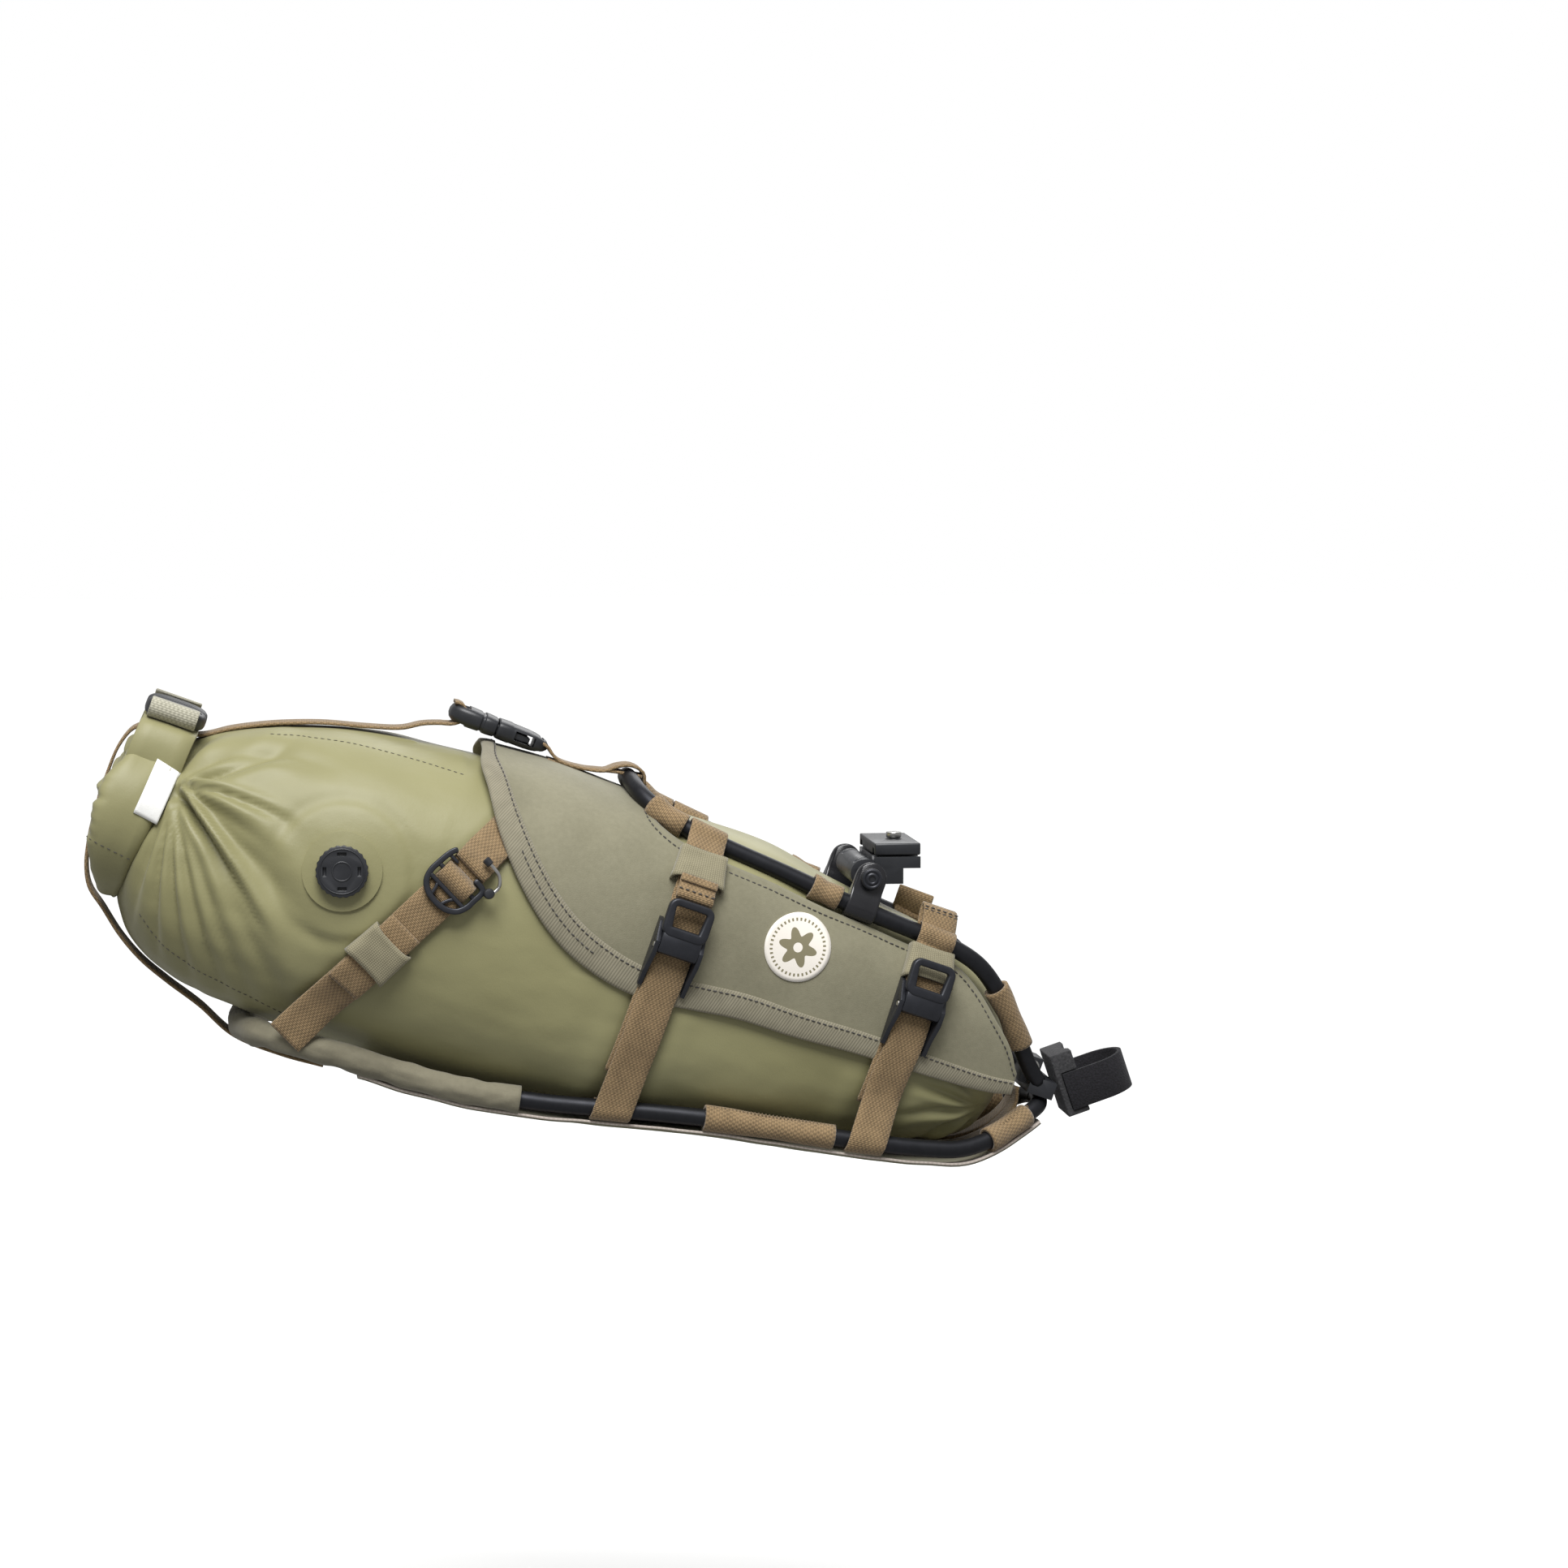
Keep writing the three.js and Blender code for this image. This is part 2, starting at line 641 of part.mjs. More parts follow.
// The bottom panel hangs just under the lower loop, clear of what is wrapped round it.
function makeBottomPanel() {
  const thickness = 1.4;
  const drop = tubeRadius + wrapOuter + 1;
  const stations = 16;
  const across = 10;
  const edge = halfCurve(lowerHalf, 1).getSpacedPoints(400).filter((p) => p.x < -32 && p.x > -372);
  const rings = [];
  for (let i = 0; i <= stations; i++) {
    const at = Math.round((i * (edge.length - 1)) / stations);
    const p = edge[at];
    const along = edge[Math.min(at + 4, edge.length - 1)].clone().sub(edge[Math.max(at - 4, 0)]).setY(0).normalize();
    const down = vec(along.z, 0, -along.x).multiplyScalar(along.x < 0 ? -1 : 1);
    const sag = 4 * Math.sin((Math.PI * i) / stations);
    const place = (k, depth) => {
      const y = (2 * k) / across - 1;
      const away = drop + sag * (1 - y ** 4) + depth;
      return vec(p.x, y * (p.y + 1), p.z).addScaledVector(down, away);
    };
    const ring = [];
    for (let k = 0; k <= across; k++) ring.push(place(k, 0));
    for (let k = across; k >= 0; k--) ring.push(place(k, thickness));
    rings.push(ring);
  }
  addPiece(bag, "bottom_panel", loft(rings), waxedCloth);
}
makeBottomPanel();

// ---------- side straps ----------

// The direction of a tube at a station, scaled to a step of one along the bag.
function tubeSlope(half, station, side) {
  const ahead = tubeAt(half, station + 9, side);
  const behind = tubeAt(half, station - 9, side);
  const along = ahead.sub(behind);
  return along.divideScalar(along.x);
}

// Steps of a band round a tube: angles are measured from the outward side, positive upwards.
function roundTube(half, station, side, radius, from, to, count) {
  const middle = tubeAt(half, station, side).setX(station);
  const across = tubeSlope(half, station, side);
  const steps = [];
  for (let i = 0; i <= count; i++) {
    const turn = THREE.MathUtils.degToRad(from + ((to - from) * i) / count);
    const arm = vec(0, side * radius * Math.cos(turn), radius * Math.sin(turn));
    steps.push({ point: middle.clone().add(arm), across });
  }
  return steps;
}

const forwards = (direction) => (direction.x < 0 ? direction.negate() : direction);

// The steps of a strap where it runs straight through a fitting.
function throughFitting(place, halfLength) {
  place.updateMatrix();
  const across = forwards(vec(1, 0, 0).applyQuaternion(place.quaternion));
  return [-halfLength, halfLength].map((z) => ({ point: vec(0, 0, z).applyMatrix4(place.matrix), across }));
}

function makeSideStrap(name, station, side, fittings) {
  const wrap = tubeRadius + gap + 0.25 + webbingThickness / 2;
  const low = tubeAt(lowerHalf, station, side);
  const lay = (height) => {
    const out = outOf(station, height, side);
    const point = onForm(station, height, side, 0).addScaledVector(out, strapLift).setX(station);
    return { point, across: forwards(vec(out.y, -out.x, 0).normalize()) };
  };
  const middle = [];
  let height = low.z + 26;
  for (const { place, halfLength } of fittings) {
    const ends = throughFitting(place, halfLength);
    for (; height < ends[0].point.z - 8; height += 12) middle.push(lay(height));
    middle.push(...ends);
    height = ends[1].point.z + 9;
  }
  const steps = [
    ...roundTube(lowerHalf, station, side, wrap, -200, 10, 8),
    ...middle,
    ...roundTube(upperHalf, station, side, wrap + 0.2, 10, 170, 7),
  ];
  addPiece(bag, name, band(steps, webbingWidth, webbingThickness), webbing);
}

// An elastic keeper: a flat ring round a strap, in a group whose z runs along the strap and y out of the bag.
function makeKeeper(place, name, length) {
  const inside = { x: webbingWidth + 0.9, y: webbingThickness + 1 };
  const ring = cut(
    solidOf(box(inside.x + 1.8, inside.y + 1.0, length)),
    box(inside.x, inside.y, length + 2),
  );
  addPiece(place, name, geometryOf(ring), elastic);
}

// A cam buckle: a channel that the strap runs through, and a lever with a window that presses on the strap.
function makeCamBuckle(place, name) {
  const cheek = { thick: 2.2, inside: webbingWidth + 1.2 };
  const half = cheek.inside / 2 + cheek.thick;
  const pinHeight = 5.6;
  const profile = new THREE.Shape();
  profile.moveTo(-1.8, -21);
  profile.lineTo(0.6, -22);
  profile.lineTo(3.2, -14);
  profile.lineTo(pinHeight + 2.8, -5);
  profile.lineTo(pinHeight + 3.2, 2);
  profile.lineTo(pinHeight + 0.6, 6);
  profile.lineTo(3, 12);
  profile.lineTo(-1.8, 14);
  profile.closePath();
  const cheeks = [1, -1].map((side) => {
    const plate = new THREE.ExtrudeGeometry(profile, { depth: cheek.thick, bevelEnabled: false });
    plate.applyMatrix4(new THREE.Matrix4().makeBasis(vec(0, 1, 0), vec(0, 0, 1), vec(1, 0, 0)));
    return plate.translate(side > 0 ? cheek.inside / 2 : -half, 0, 0);
  });
  const floor = box(2 * half - 1, 0.6, 30, 0, -1.5, -4);
  const pinHole = rodX(1.6 + gap, 60, 0, pinHeight, 0, 16);
  addPiece(place, `${name}_frame`, geometryOf(cut(join(...cheeks, floor), pinHole)), blackPlastic);
  const wide = cheek.inside - 2 * gap;
  const ringWide = wide + 4;
  const lever = cut(
    join(
      rodX(3.8, wide, 0, pinHeight, 0, 12),
      rodX(1.6, 2 * half + 1.2, 0, pinHeight, 0, 10),
      box(wide, 4.4, 8, 0, pinHeight + 1.4, 3.2),
      box(wide, 4.2, 10, 0, pinHeight + 1.5, 8),
      box(ringWide, 4.2, 16.6, 0, pinHeight + 1.5, 17.7),
    ),
    box(ringWide - 8, 12, 12, 0, pinHeight + 1.5, 15.4),
  );
  addPiece(place, `${name}_lever`, geometryOf(lever), blackPlastic);
}

const keeperHeights = { rear: 36, front: 27 };
for (const [sideName, side] of sides)
  for (const [placeName, station] of Object.entries(sideStrapStations)) {
    const buckle = placeOnForm(station, buckleHeights[placeName], side, strapLift);
    const keeper = placeOnForm(station, keeperHeights[placeName], side, strapLift);
    const fittings = [
      { place: buckle, halfLength: 17 },
      { place: keeper, halfLength: 6 },
    ];
    makeSideStrap(`side_strap_${placeName}_${sideName}`, station, side, fittings);
    makeKeeper(keeper, `keeper_${placeName}_${sideName}`, 10);
    makeCamBuckle(buckle, `cam_buckle_${placeName}_${sideName}`);
  }

// ---------- diagonal straps with their hook buckles ----------

function makeDiagonal(sideName, side) {
  const low = [-404, -88];
  const high = [-350, 14];
  const alongStrap = (k) => [low[0] + (high[0] - low[0]) * k, low[1] + (high[1] - low[1]) * k];
  const slant = Math.atan2(high[0] - low[0], high[1] - low[1]);
  const flatAcross = vec(Math.cos(slant), 0, -Math.sin(slant));
  const lift = 3;
  const placeAt = (k) => placeOnForm(...alongStrap(k), side, lift, slant, drybagStations);
  const keeper = placeAt(0.34);
  const hook = placeAt(0.79);
  const lay = (k) => {
    const [s, t] = alongStrap(k);
    const out = outOf(s, t, side, drybagStations);
    const point = onForm(s, t, side, 0, drybagStations).addScaledVector(out, lift);
    return { point, across: flatAcross.clone().addScaledVector(out, -out.dot(flatAcross)).normalize() };
  };
  const steps = [
    { point: vec(-414.5, side * (tubeAt(lowerHalf, -412, 1).y + 9.9), -111), across: flatAcross },
    lay(0.02),
    lay(0.16),
    ...throughFitting(keeper, 8),
    lay(0.52),
    ...throughFitting(hook, 15),
    lay(0.97),
  ];
  addPiece(bag, `diagonal_strap_${sideName}`, band(steps, webbingWidth, webbingThickness), webbing);
  makeKeeper(keeper, `keeper_diagonal_${sideName}`, 14);
  makeHookBuckle(hook, sideName, side);
}

// A ladder hook: a D-shaped plate with a long bar, slots for the webbing and an open end closed by a wire gate.
function makeHookBuckle(place, sideName, hand) {
  const thickness = 3;
  const rise = webbingThickness / 2 + 2 * gap;
  const plate = new THREE.Shape();
  plate.absarc(0, -1, 15, Math.PI, 2 * Math.PI);
  plate.lineTo(15, 4);
  plate.lineTo(13, 13);
  plate.lineTo(-13, 13);
  plate.lineTo(-15, 4);
  plate.closePath();
  const slots = [
    [22, 4.5, 0, -3.4],
    [22, 6.2, 0, 4.4],
    [8, 6, 0, 12],
    [8, 4, 0, -10.4],
  ];
  const body = new THREE.ExtrudeGeometry(plate, { depth: thickness, bevelEnabled: false, curveSegments: 14 });
  body.rotateX(Math.PI / 2).translate(0, rise + thickness, 0);
  const cutters = slots.map(([w, h, x, z]) => box(w, 20, h, x, 0, z));
  addPiece(place, `hook_buckle_${sideName}`, geometryOf(largest(cut(solidOf(body), ...cutters))), blackPlastic);
  const wire = 1;
  const gateHeight = rise + thickness + 2.3 + gap;
  const path = new THREE.CatmullRomCurve3(
    [
      [16, 6],
      [17, 12],
      [12, 17],
      [4, 17.6],
    ].map(([x, z]) => vec(hand * x, gateHeight, z)),
    false,
    "centripetal",
  );
  const knobs = [rodX(2.3, 4, hand * 15.5, gateHeight, 7, 12), rodX(2, 3.6, hand * 3.6, gateHeight, 17.6, 12)];
  const gate = join(tube(path, wire, 0, 10, 6), ...knobs);
  addPiece(place, `wire_gate_${sideName}`, geometryOf(gate), steel);
}

for (const [sideName, side] of sides) makeDiagonal(sideName, side);

// ---------- top buckle and its straps ----------

function makeTopBuckle() {
  const place = new THREE.Group();
  place.position.set(-362, 0, 68);
  place.rotation.y = 0.03;
  bag.add(place);
  sideRelease(place, "top_buckle", { length: 51, width: 28, thickness: 10 });
}
makeTopBuckle();

const centreBand = (route) => {
  const curve = new THREE.CatmullRomCurve3(
    route.map(([s, t]) => vec(s, 0, t)),
    false,
    "centripetal",
  );
  const count = Math.ceil(curve.getLength() / 12);
  return curve.getSpacedPoints(count).map((point) => ({ point, across: vec(0, 1, 0) }));
};

// From the top buckle's male half over the roll, round the bag's rear end and under the lower loop.
const rearStrapRoute = [
  [-397, 59],
  [-408, 53.5],
  [-426, 48.5],
  [-446, 43.5],
  [-462, 38],
  [-474, 32.8],
  [-490, 24.3],
  [-502, 15.8],
  [-512, 12],
  [-526, 11.5],
  [-536, 7],
  [-540.5, -4],
  [-541.5, -20],
  [-541, -40],
  [-539, -56],
  [-536, -68],
  [-531, -79],
  [-521, -89],
  [-508, -99.5],
  [-494, -108.5],
  [-478, -116],
  [-458, -123.5],
  [-436, -127.4],
  [-410, -127.4],
  [-388, -126],
];
addPiece(bag, "rear_strap", band(centreBand(rearStrapRoute), webbingWidth, webbingThickness), webbing);

const frontWebRoute = [
  [-327, 64.2],
  [-314, 64],
  [-302, 66],
  [-297, 70],
  [-290, 73],
  [-283, 71.5],
  [-280.5, 66],
];
addPiece(bag, "front_web", band(centreBand(frontWebRoute), webbingWidth, webbingThickness), webbing);

export default saddleBag;
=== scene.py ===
import json
import math

import bmesh
import bpy
import numpy as np
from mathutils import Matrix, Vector, noise
from mathutils.bvhtree import BVHTree

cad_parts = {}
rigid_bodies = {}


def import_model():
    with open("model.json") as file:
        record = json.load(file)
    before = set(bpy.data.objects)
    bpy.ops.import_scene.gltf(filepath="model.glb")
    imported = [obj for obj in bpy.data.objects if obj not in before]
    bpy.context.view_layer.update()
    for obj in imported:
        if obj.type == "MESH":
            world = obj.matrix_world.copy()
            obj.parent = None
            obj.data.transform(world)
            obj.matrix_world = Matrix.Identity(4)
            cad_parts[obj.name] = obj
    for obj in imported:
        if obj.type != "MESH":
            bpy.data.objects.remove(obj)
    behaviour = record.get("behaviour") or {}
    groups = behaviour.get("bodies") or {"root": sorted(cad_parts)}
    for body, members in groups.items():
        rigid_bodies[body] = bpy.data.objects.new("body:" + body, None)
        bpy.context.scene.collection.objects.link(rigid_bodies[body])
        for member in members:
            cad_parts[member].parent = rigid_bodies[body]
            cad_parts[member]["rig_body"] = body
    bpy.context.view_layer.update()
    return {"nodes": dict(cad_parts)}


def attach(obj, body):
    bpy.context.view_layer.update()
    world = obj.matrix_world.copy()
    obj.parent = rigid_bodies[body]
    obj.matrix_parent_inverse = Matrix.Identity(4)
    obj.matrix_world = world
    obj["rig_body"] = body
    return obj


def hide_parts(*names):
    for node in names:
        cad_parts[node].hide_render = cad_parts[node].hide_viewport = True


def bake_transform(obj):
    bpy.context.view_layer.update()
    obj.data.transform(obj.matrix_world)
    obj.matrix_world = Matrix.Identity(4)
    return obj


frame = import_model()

scene = bpy.context.scene
nodes = frame["nodes"]
print("frame loaded")

# the bag's own axes, in millimetres: s runs forward along the bag, y to its left, t away from its belly
bagTilt = math.radians(20)
bagTurn = np.array(
    [
        [math.cos(bagTilt), 0, math.sin(bagTilt)],
        [0, 1, 0],
        [-math.sin(bagTilt), 0, math.cos(bagTilt)],
    ]
)
metre = 0.001  # one millimetre in metres
sides = {"left": 1, "right": -1}


def toRow(points):
    return (np.asarray(points, float).reshape(-1, 3) @ bagTurn.T) * metre


def rowPoint(s, y, t):
    return Vector(toRow([(s, y, t)])[0])


# ---------- finishes ----------


def startFinish(name, colour, roughness, metallic=0.0):
    material = bpy.data.materials.new(name)
    material.use_nodes = True
    tree = material.node_tree
    shader = next(n for n in tree.nodes if n.type == "BSDF_PRINCIPLED")
    shader.inputs["Base Color"].default_value = (*colour, 1)
    shader.inputs["Roughness"].default_value = roughness
    shader.inputs["Metallic"].default_value = metallic
    return material, tree, shader


def mathOf(tree, kind, a, b=None):
    node = tree.nodes.new("ShaderNodeMath")
    node.operation = kind
    for socket, value in zip(node.inputs, (a, b)):
        if value is None:
            continue
        if isinstance(value, (int, float)):
            socket.default_value = value
        else:
            tree.links.new(value, socket)
    return node.outputs[0]


def noiseOf(tree, scale, detail=3.0, stretch=None, roughness=0.5):
    place = tree.nodes.new("ShaderNodeTexCoord").outputs["Object"]
    if stretch:
        mapping = tree.nodes.new("ShaderNodeMapping")
        mapping.inputs["Scale"].default_value = stretch
        mapping.inputs["Rotation"].default_value = (0, -bagTilt, 0)
        tree.links.new(place, mapping.inputs["Vector"])
        place = mapping.outputs[0]
    node = tree.nodes.new("ShaderNodeTexNoise")
    node.inputs["Scale"].default_value = scale
    node.inputs["Detail"].default_value = detail
    node.inputs["Roughness"].default_value = roughness
    tree.links.new(place, node.inputs["Vector"])
    return node.outputs["Fac"]


def shadeBetween(tree, amount, low, high, dark, light):
    node = tree.nodes.new("ShaderNodeMapRange")
    node.inputs["From Min"].default_value = low
    node.inputs["From Max"].default_value = high
    tree.links.new(amount, node.inputs["Value"])
    mix = tree.nodes.new("ShaderNodeMix")
    mix.data_type = "RGBA"
    mix.inputs[6].default_value = (*dark, 1)
    mix.inputs[7].default_value = (*light, 1)
    tree.links.new(node.outputs[0], mix.inputs[0])
    return mix.outputs[2]


def addBump(tree, shader, height, depth, strength=1.0, under=None):
    node = tree.nodes.new("ShaderNodeBump")
    node.inputs["Strength"].default_value = strength
    node.inputs["Distance"].default_value = depth
    tree.links.new(height, node.inputs["Height"])
    if under is not None:
        tree.links.new(under, node.inputs["Normal"])
    tree.links.new(node.outputs[0], shader.inputs["Normal"])
    return node.outputs[0]


def roughBetween(tree, shader, amount, low, high):
    node = tree.nodes.new("ShaderNodeMapRange")
    node.inputs["To Min"].default_value = low
    node.inputs["To Max"].default_value = high
    tree.links.new(amount, node.inputs["Value"])
    tree.links.new(node.outputs[0], shader.inputs["Roughness"])


def makeCoatedCloth(name, dark, light):
    material, tree, shader = startFinish(name, light, 0.45)
    shader.inputs["Specular IOR Level"].default_value = 0.42
    shader.inputs["Sheen Weight"].default_value = 0.12
    shader.inputs["Sheen Roughness"].default_value = 0.45
    patches = noiseOf(tree, 9, 3)
    tree.links.new(shadeBetween(tree, patches, 0.3, 0.7, dark, light), shader.inputs["Base Color"])
    roughBetween(tree, shader, noiseOf(tree, 40, 2), 0.40, 0.56)
    grain = addBump(tree, shader, noiseOf(tree, 1500, 2), 0.00008, 0.5)
    addBump(tree, shader, noiseOf(tree, 110, 3), 0.0004, 0.5, grain)
    return material


def makeWaxedCloth(name, dark, light):
    material, tree, shader = startFinish(name, light, 0.85)
    shader.inputs["Sheen Weight"].default_value = 0.2
    shader.inputs["Sheen Roughness"].default_value = 0.6
    blotches = mathOf(tree, "ADD", mathOf(tree, "MULTIPLY", noiseOf(tree, 28, 4), 0.7), mathOf(tree, "MULTIPLY", noiseOf(tree, 420, 2), 0.3))
    tree.links.new(shadeBetween(tree, blotches, 0.36, 0.64, dark, light), shader.inputs["Base Color"])
    roughBetween(tree, shader, noiseOf(tree, 60, 2), 0.72, 0.9)
    weave = addBump(tree, shader, noiseOf(tree, 1300, 2, (1, 1, 2.2)), 0.00016, 0.7)
    addBump(tree, shader, noiseOf(tree, 50, 3), 0.0008, 0.35, weave)
    return material


def makeWebbing(name, dark, light, pitchAlong, pitchAcross, depth=0.00035):
    material, tree, shader = startFinish(name, light, 0.85)
    shader.inputs["Sheen Weight"].default_value = 0.25
    shader.inputs["Sheen Roughness"].default_value = 0.5
    uv = tree.nodes.new("ShaderNodeUVMap")
    parts = tree.nodes.new("ShaderNodeSeparateXYZ")
    tree.links.new(uv.outputs[0], parts.inputs[0])
    along = mathOf(tree, "SINE", mathOf(tree, "MULTIPLY", parts.outputs[0], 2 * math.pi / pitchAlong))
    row = mathOf(tree, "FLOOR", mathOf(tree, "MULTIPLY", parts.outputs[0], 1 / pitchAlong))
    shift = mathOf(tree, "MULTIPLY", mathOf(tree, "MODULO", row, 2.0), math.pi)
    across = mathOf(tree, "SINE", mathOf(tree, "ADD", mathOf(tree, "MULTIPLY", parts.outputs[1], 2 * math.pi / pitchAcross), shift))
    ribs = mathOf(tree, "ABSOLUTE", along)
    height = mathOf(tree, "ADD", mathOf(tree, "MULTIPLY", ribs, 0.6), mathOf(tree, "MULTIPLY", across, 0.25))
    # colour follows the weave height: painted shade in the grooves and a painted highlight on the rib tops, mixed with
    # random mottling of the tone
    ribShadeAndMottle = mathOf(tree, "ADD", height, mathOf(tree, "MULTIPLY", noiseOf(tree, 160, 3), 0.6))
    tree.links.new(shadeBetween(tree, ribShadeAndMottle, 0.15, 1.0, dark, light), shader.inputs["Base Color"])
    addBump(tree, shader, height, depth, 0.8)
    return material


def makePlastic(name, colour, rough, speckle=1600):
    material, tree, shader = startFinish(name, colour, rough)
    paler = tuple(min(1, c * 1.5) for c in colour)
    tree.links.new(shadeBetween(tree, noiseOf(tree, 90, 3), 0.3, 0.75, colour, paler), shader.inputs["Base Color"])
    roughBetween(tree, shader, noiseOf(tree, 60, 3), rough - 0.08, rough + 0.1)
    addBump(tree, shader, noiseOf(tree, speckle, 2), 0.00006, 0.5)
    return material


def makeMetal(name, colour, rough, metallic=1.0, brushed=(1, 1, 1)):
    material, tree, shader = startFinish(name, colour, rough, metallic)
    streaks = noiseOf(tree, 300, 3, brushed)
    tree.links.new(shadeBetween(tree, streaks, 0.2, 0.8, tuple(0.75 * c for c in colour), colour), shader.inputs["Base Color"])
    roughBetween(tree, shader, noiseOf(tree, 120, 3), rough - 0.06, rough + 0.1)
    addBump(tree, shader, streaks, 0.00003, 0.4)
    return material


def makeFuzz(name, dark, light, scale):
    material, tree, shader = startFinish(name, light, 0.95)
    shader.inputs["Sheen Weight"].default_value = 0.22
    shader.inputs["Sheen Roughness"].default_value = 0.4
    shader.inputs["Sheen Tint"].default_value = (0.25, 0.25, 0.27, 1)
    loops = noiseOf(tree, scale, 4)
    tree.links.new(shadeBetween(tree, loops, 0.35, 0.65, dark, light), shader.inputs["Base Color"])
    addBump(tree, shader, loops, 0.0006, 0.9)
    return material


coatedOlive = makeCoatedCloth("coatedOlive", (0.250, 0.236, 0.112), (0.310, 0.294, 0.150))
waxedOlive = makeWaxedCloth("waxedOlive", (0.195, 0.182, 0.115), (0.245, 0.229, 0.150))
sleeveCloth = makeWaxedCloth("sleeveCloth", (0.165, 0.150, 0.098), (0.215, 0.196, 0.132))
grosgrain = makeWebbing("grosgrain", (0.16, 0.146, 0.098), (0.29, 0.264, 0.188), 0.0030, 0.9, 0.00030)
brownWebbing = makeWebbing("brownWebbing", (0.100, 0.066, 0.029), (0.335, 0.225, 0.112), 0.0017, 0.0021)
keeperElastic = makeWebbing("keeperElastic", (0.17, 0.15, 0.09), (0.31, 0.28, 0.18), 0.0022, 0.0011, 0.0002)
greyTape = makeWebbing("greyTape", (0.25, 0.24, 0.18), (0.5, 0.48, 0.38), 0.0022, 0.0022, 0.0002)
edgeTape = makeWebbing("edgeTape", (0.42, 0.36, 0.31), (0.62, 0.55, 0.49), 0.0012, 0.0020, 0.0001)
anodised = makeMetal("anodised", (0.030, 0.031, 0.036), 0.42, 0.75, (1, 1, 1))
buckleBlack = makePlastic("buckleBlack", (0.016, 0.017, 0.020), 0.36)
glossBlack = makePlastic("glossBlack", (0.012, 0.012, 0.014), 0.2)
gunmetal = makeMetal("gunmetal", (0.034, 0.036, 0.044), 0.36, 0.45)
silver = makeMetal("silver", (0.62, 0.61, 0.59), 0.22)
denseFoam = makeFuzz("denseFoam", (0.030, 0.030, 0.032), (0.055, 0.054, 0.057), 900)
hookAndLoop = makeFuzz("hookAndLoop", (0.004, 0.004, 0.005), (0.014, 0.013, 0.017), 1100)
darkThread = makePlastic("darkThread", (0.055, 0.052, 0.050), 0.75, 3000)
labelCloth = makeWaxedCloth("labelCloth", (0.80, 0.80, 0.77), (0.88, 0.88, 0.86))
print("finishes made")

# ---------- mesh helpers ----------


def meshPiece(name, points, faces, material, uv=None, smooth=True):
    mesh = bpy.data.meshes.new(name)
    mesh.from_pydata([tuple(p) for p in points], [], faces)
    if uv is not None:
        layer = mesh.uv_layers.new(name="UVMap")
        layer.data.foreach_set("uv", np.array(uv, np.float32).ravel())
    tidyMesh = bmesh.new()
    tidyMesh.from_mesh(mesh)
    bmesh.ops.recalc_face_normals(tidyMesh, faces=tidyMesh.faces)
    tidyMesh.to_mesh(mesh)
    tidyMesh.free()
    piece = bpy.data.objects.new(name, mesh)
    scene.collection.objects.link(piece)
    mesh.materials.append(material)
    mesh.polygons.foreach_set("use_smooth", [smooth] * len(mesh.polygons))
    return piece


def skinData(rings, closedRound=True, closedAlong=False, caps=True):
    rings = np.asarray(rings, float)
    count, around = rings.shape[:2]
    points = rings.reshape(-1, 3)
    along = np.concatenate([[0], np.cumsum(np.linalg.norm(np.diff(rings, axis=0), axis=2).mean(1))])
    loop = np.concatenate([rings, rings[:, :1]], axis=1)
    round_ = np.concatenate([[0], np.cumsum(np.linalg.norm(np.diff(loop, axis=1), axis=2).mean(0))])
    faces, uv = [], []
    for r in range(count if closedAlong else count - 1):
        for i in range(around if closedRound else around - 1):
            a, b = r * around + i, r * around + (i + 1) % around
            c, d = (a + around) % len(points), (b + around) % len(points)
            faces.append((a, b, d, c))
            nextAlong = along[r + 1] if r + 1 < count else along[r]
            uv += [(along[r], round_[i]), (along[r], round_[i + 1]), (nextAlong, round_[i + 1]), (nextAlong, round_[i])]
    if caps and closedRound and not closedAlong:
        for r in (0, count - 1):
            faces.append(tuple(range(r * around, (r + 1) * around)))
            uv += [(along[r], v) for v in round_[:-1]]
    return points, faces, [(u * metre, v * metre) for u, v in uv]


def skin(name, rings, material, **how):  # rings in the bag's axes
    points, faces, uv = skinData(rings, **how)
    return meshPiece(name, toRow(points), faces, material, uv)


def joined(name, pieces):
    base = pieces[0]
    if len(pieces) > 1:
        with bpy.context.temp_override(active_object=base, selected_editable_objects=pieces, selected_objects=pieces):
            bpy.ops.object.join()
    base.name = name
    return base


def applied(piece):  # the modifiers' result becomes the mesh
    result = bpy.data.meshes.new_from_object(piece.evaluated_get(bpy.context.evaluated_depsgraph_get()))
    piece.modifiers.clear()
    piece.data = result
    return piece


def settle(piece, body, slotName, *cadNodes):
    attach(piece, body)
    if cadNodes:
        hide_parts(*cadNodes)
    return piece


def softened(node, material, width, slotName, segments=2, dissolve=0.02):
    piece = bpy.data.objects.new(node + "_shape", nodes[node].data.copy())
    scene.collection.objects.link(piece)
    body = nodes[node]["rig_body"]
    work = bmesh.new()
    work.from_mesh(piece.data)
    bmesh.ops.remove_doubles(work, verts=work.verts, dist=1e-5)
    bmesh.ops.dissolve_limit(work, angle_limit=dissolve, verts=work.verts, edges=work.edges)
    work.to_mesh(piece.data)
    work.free()
    piece.data.materials.clear()
    piece.data.materials.append(material)
    bevel = piece.modifiers.new("edges", "BEVEL")
    bevel.width = width * metre
    bevel.segments = segments
    bevel.limit_method = "ANGLE"
    bevel.angle_limit = math.radians(32)
    bevel.harden_normals = False
    applied(piece)
    piece.data.polygons.foreach_set("use_smooth", [True] * len(piece.data.polygons))
    piece.data.set_sharp_from_angle(angle=math.radians(38))
    return settle(piece, body, slotName, node)


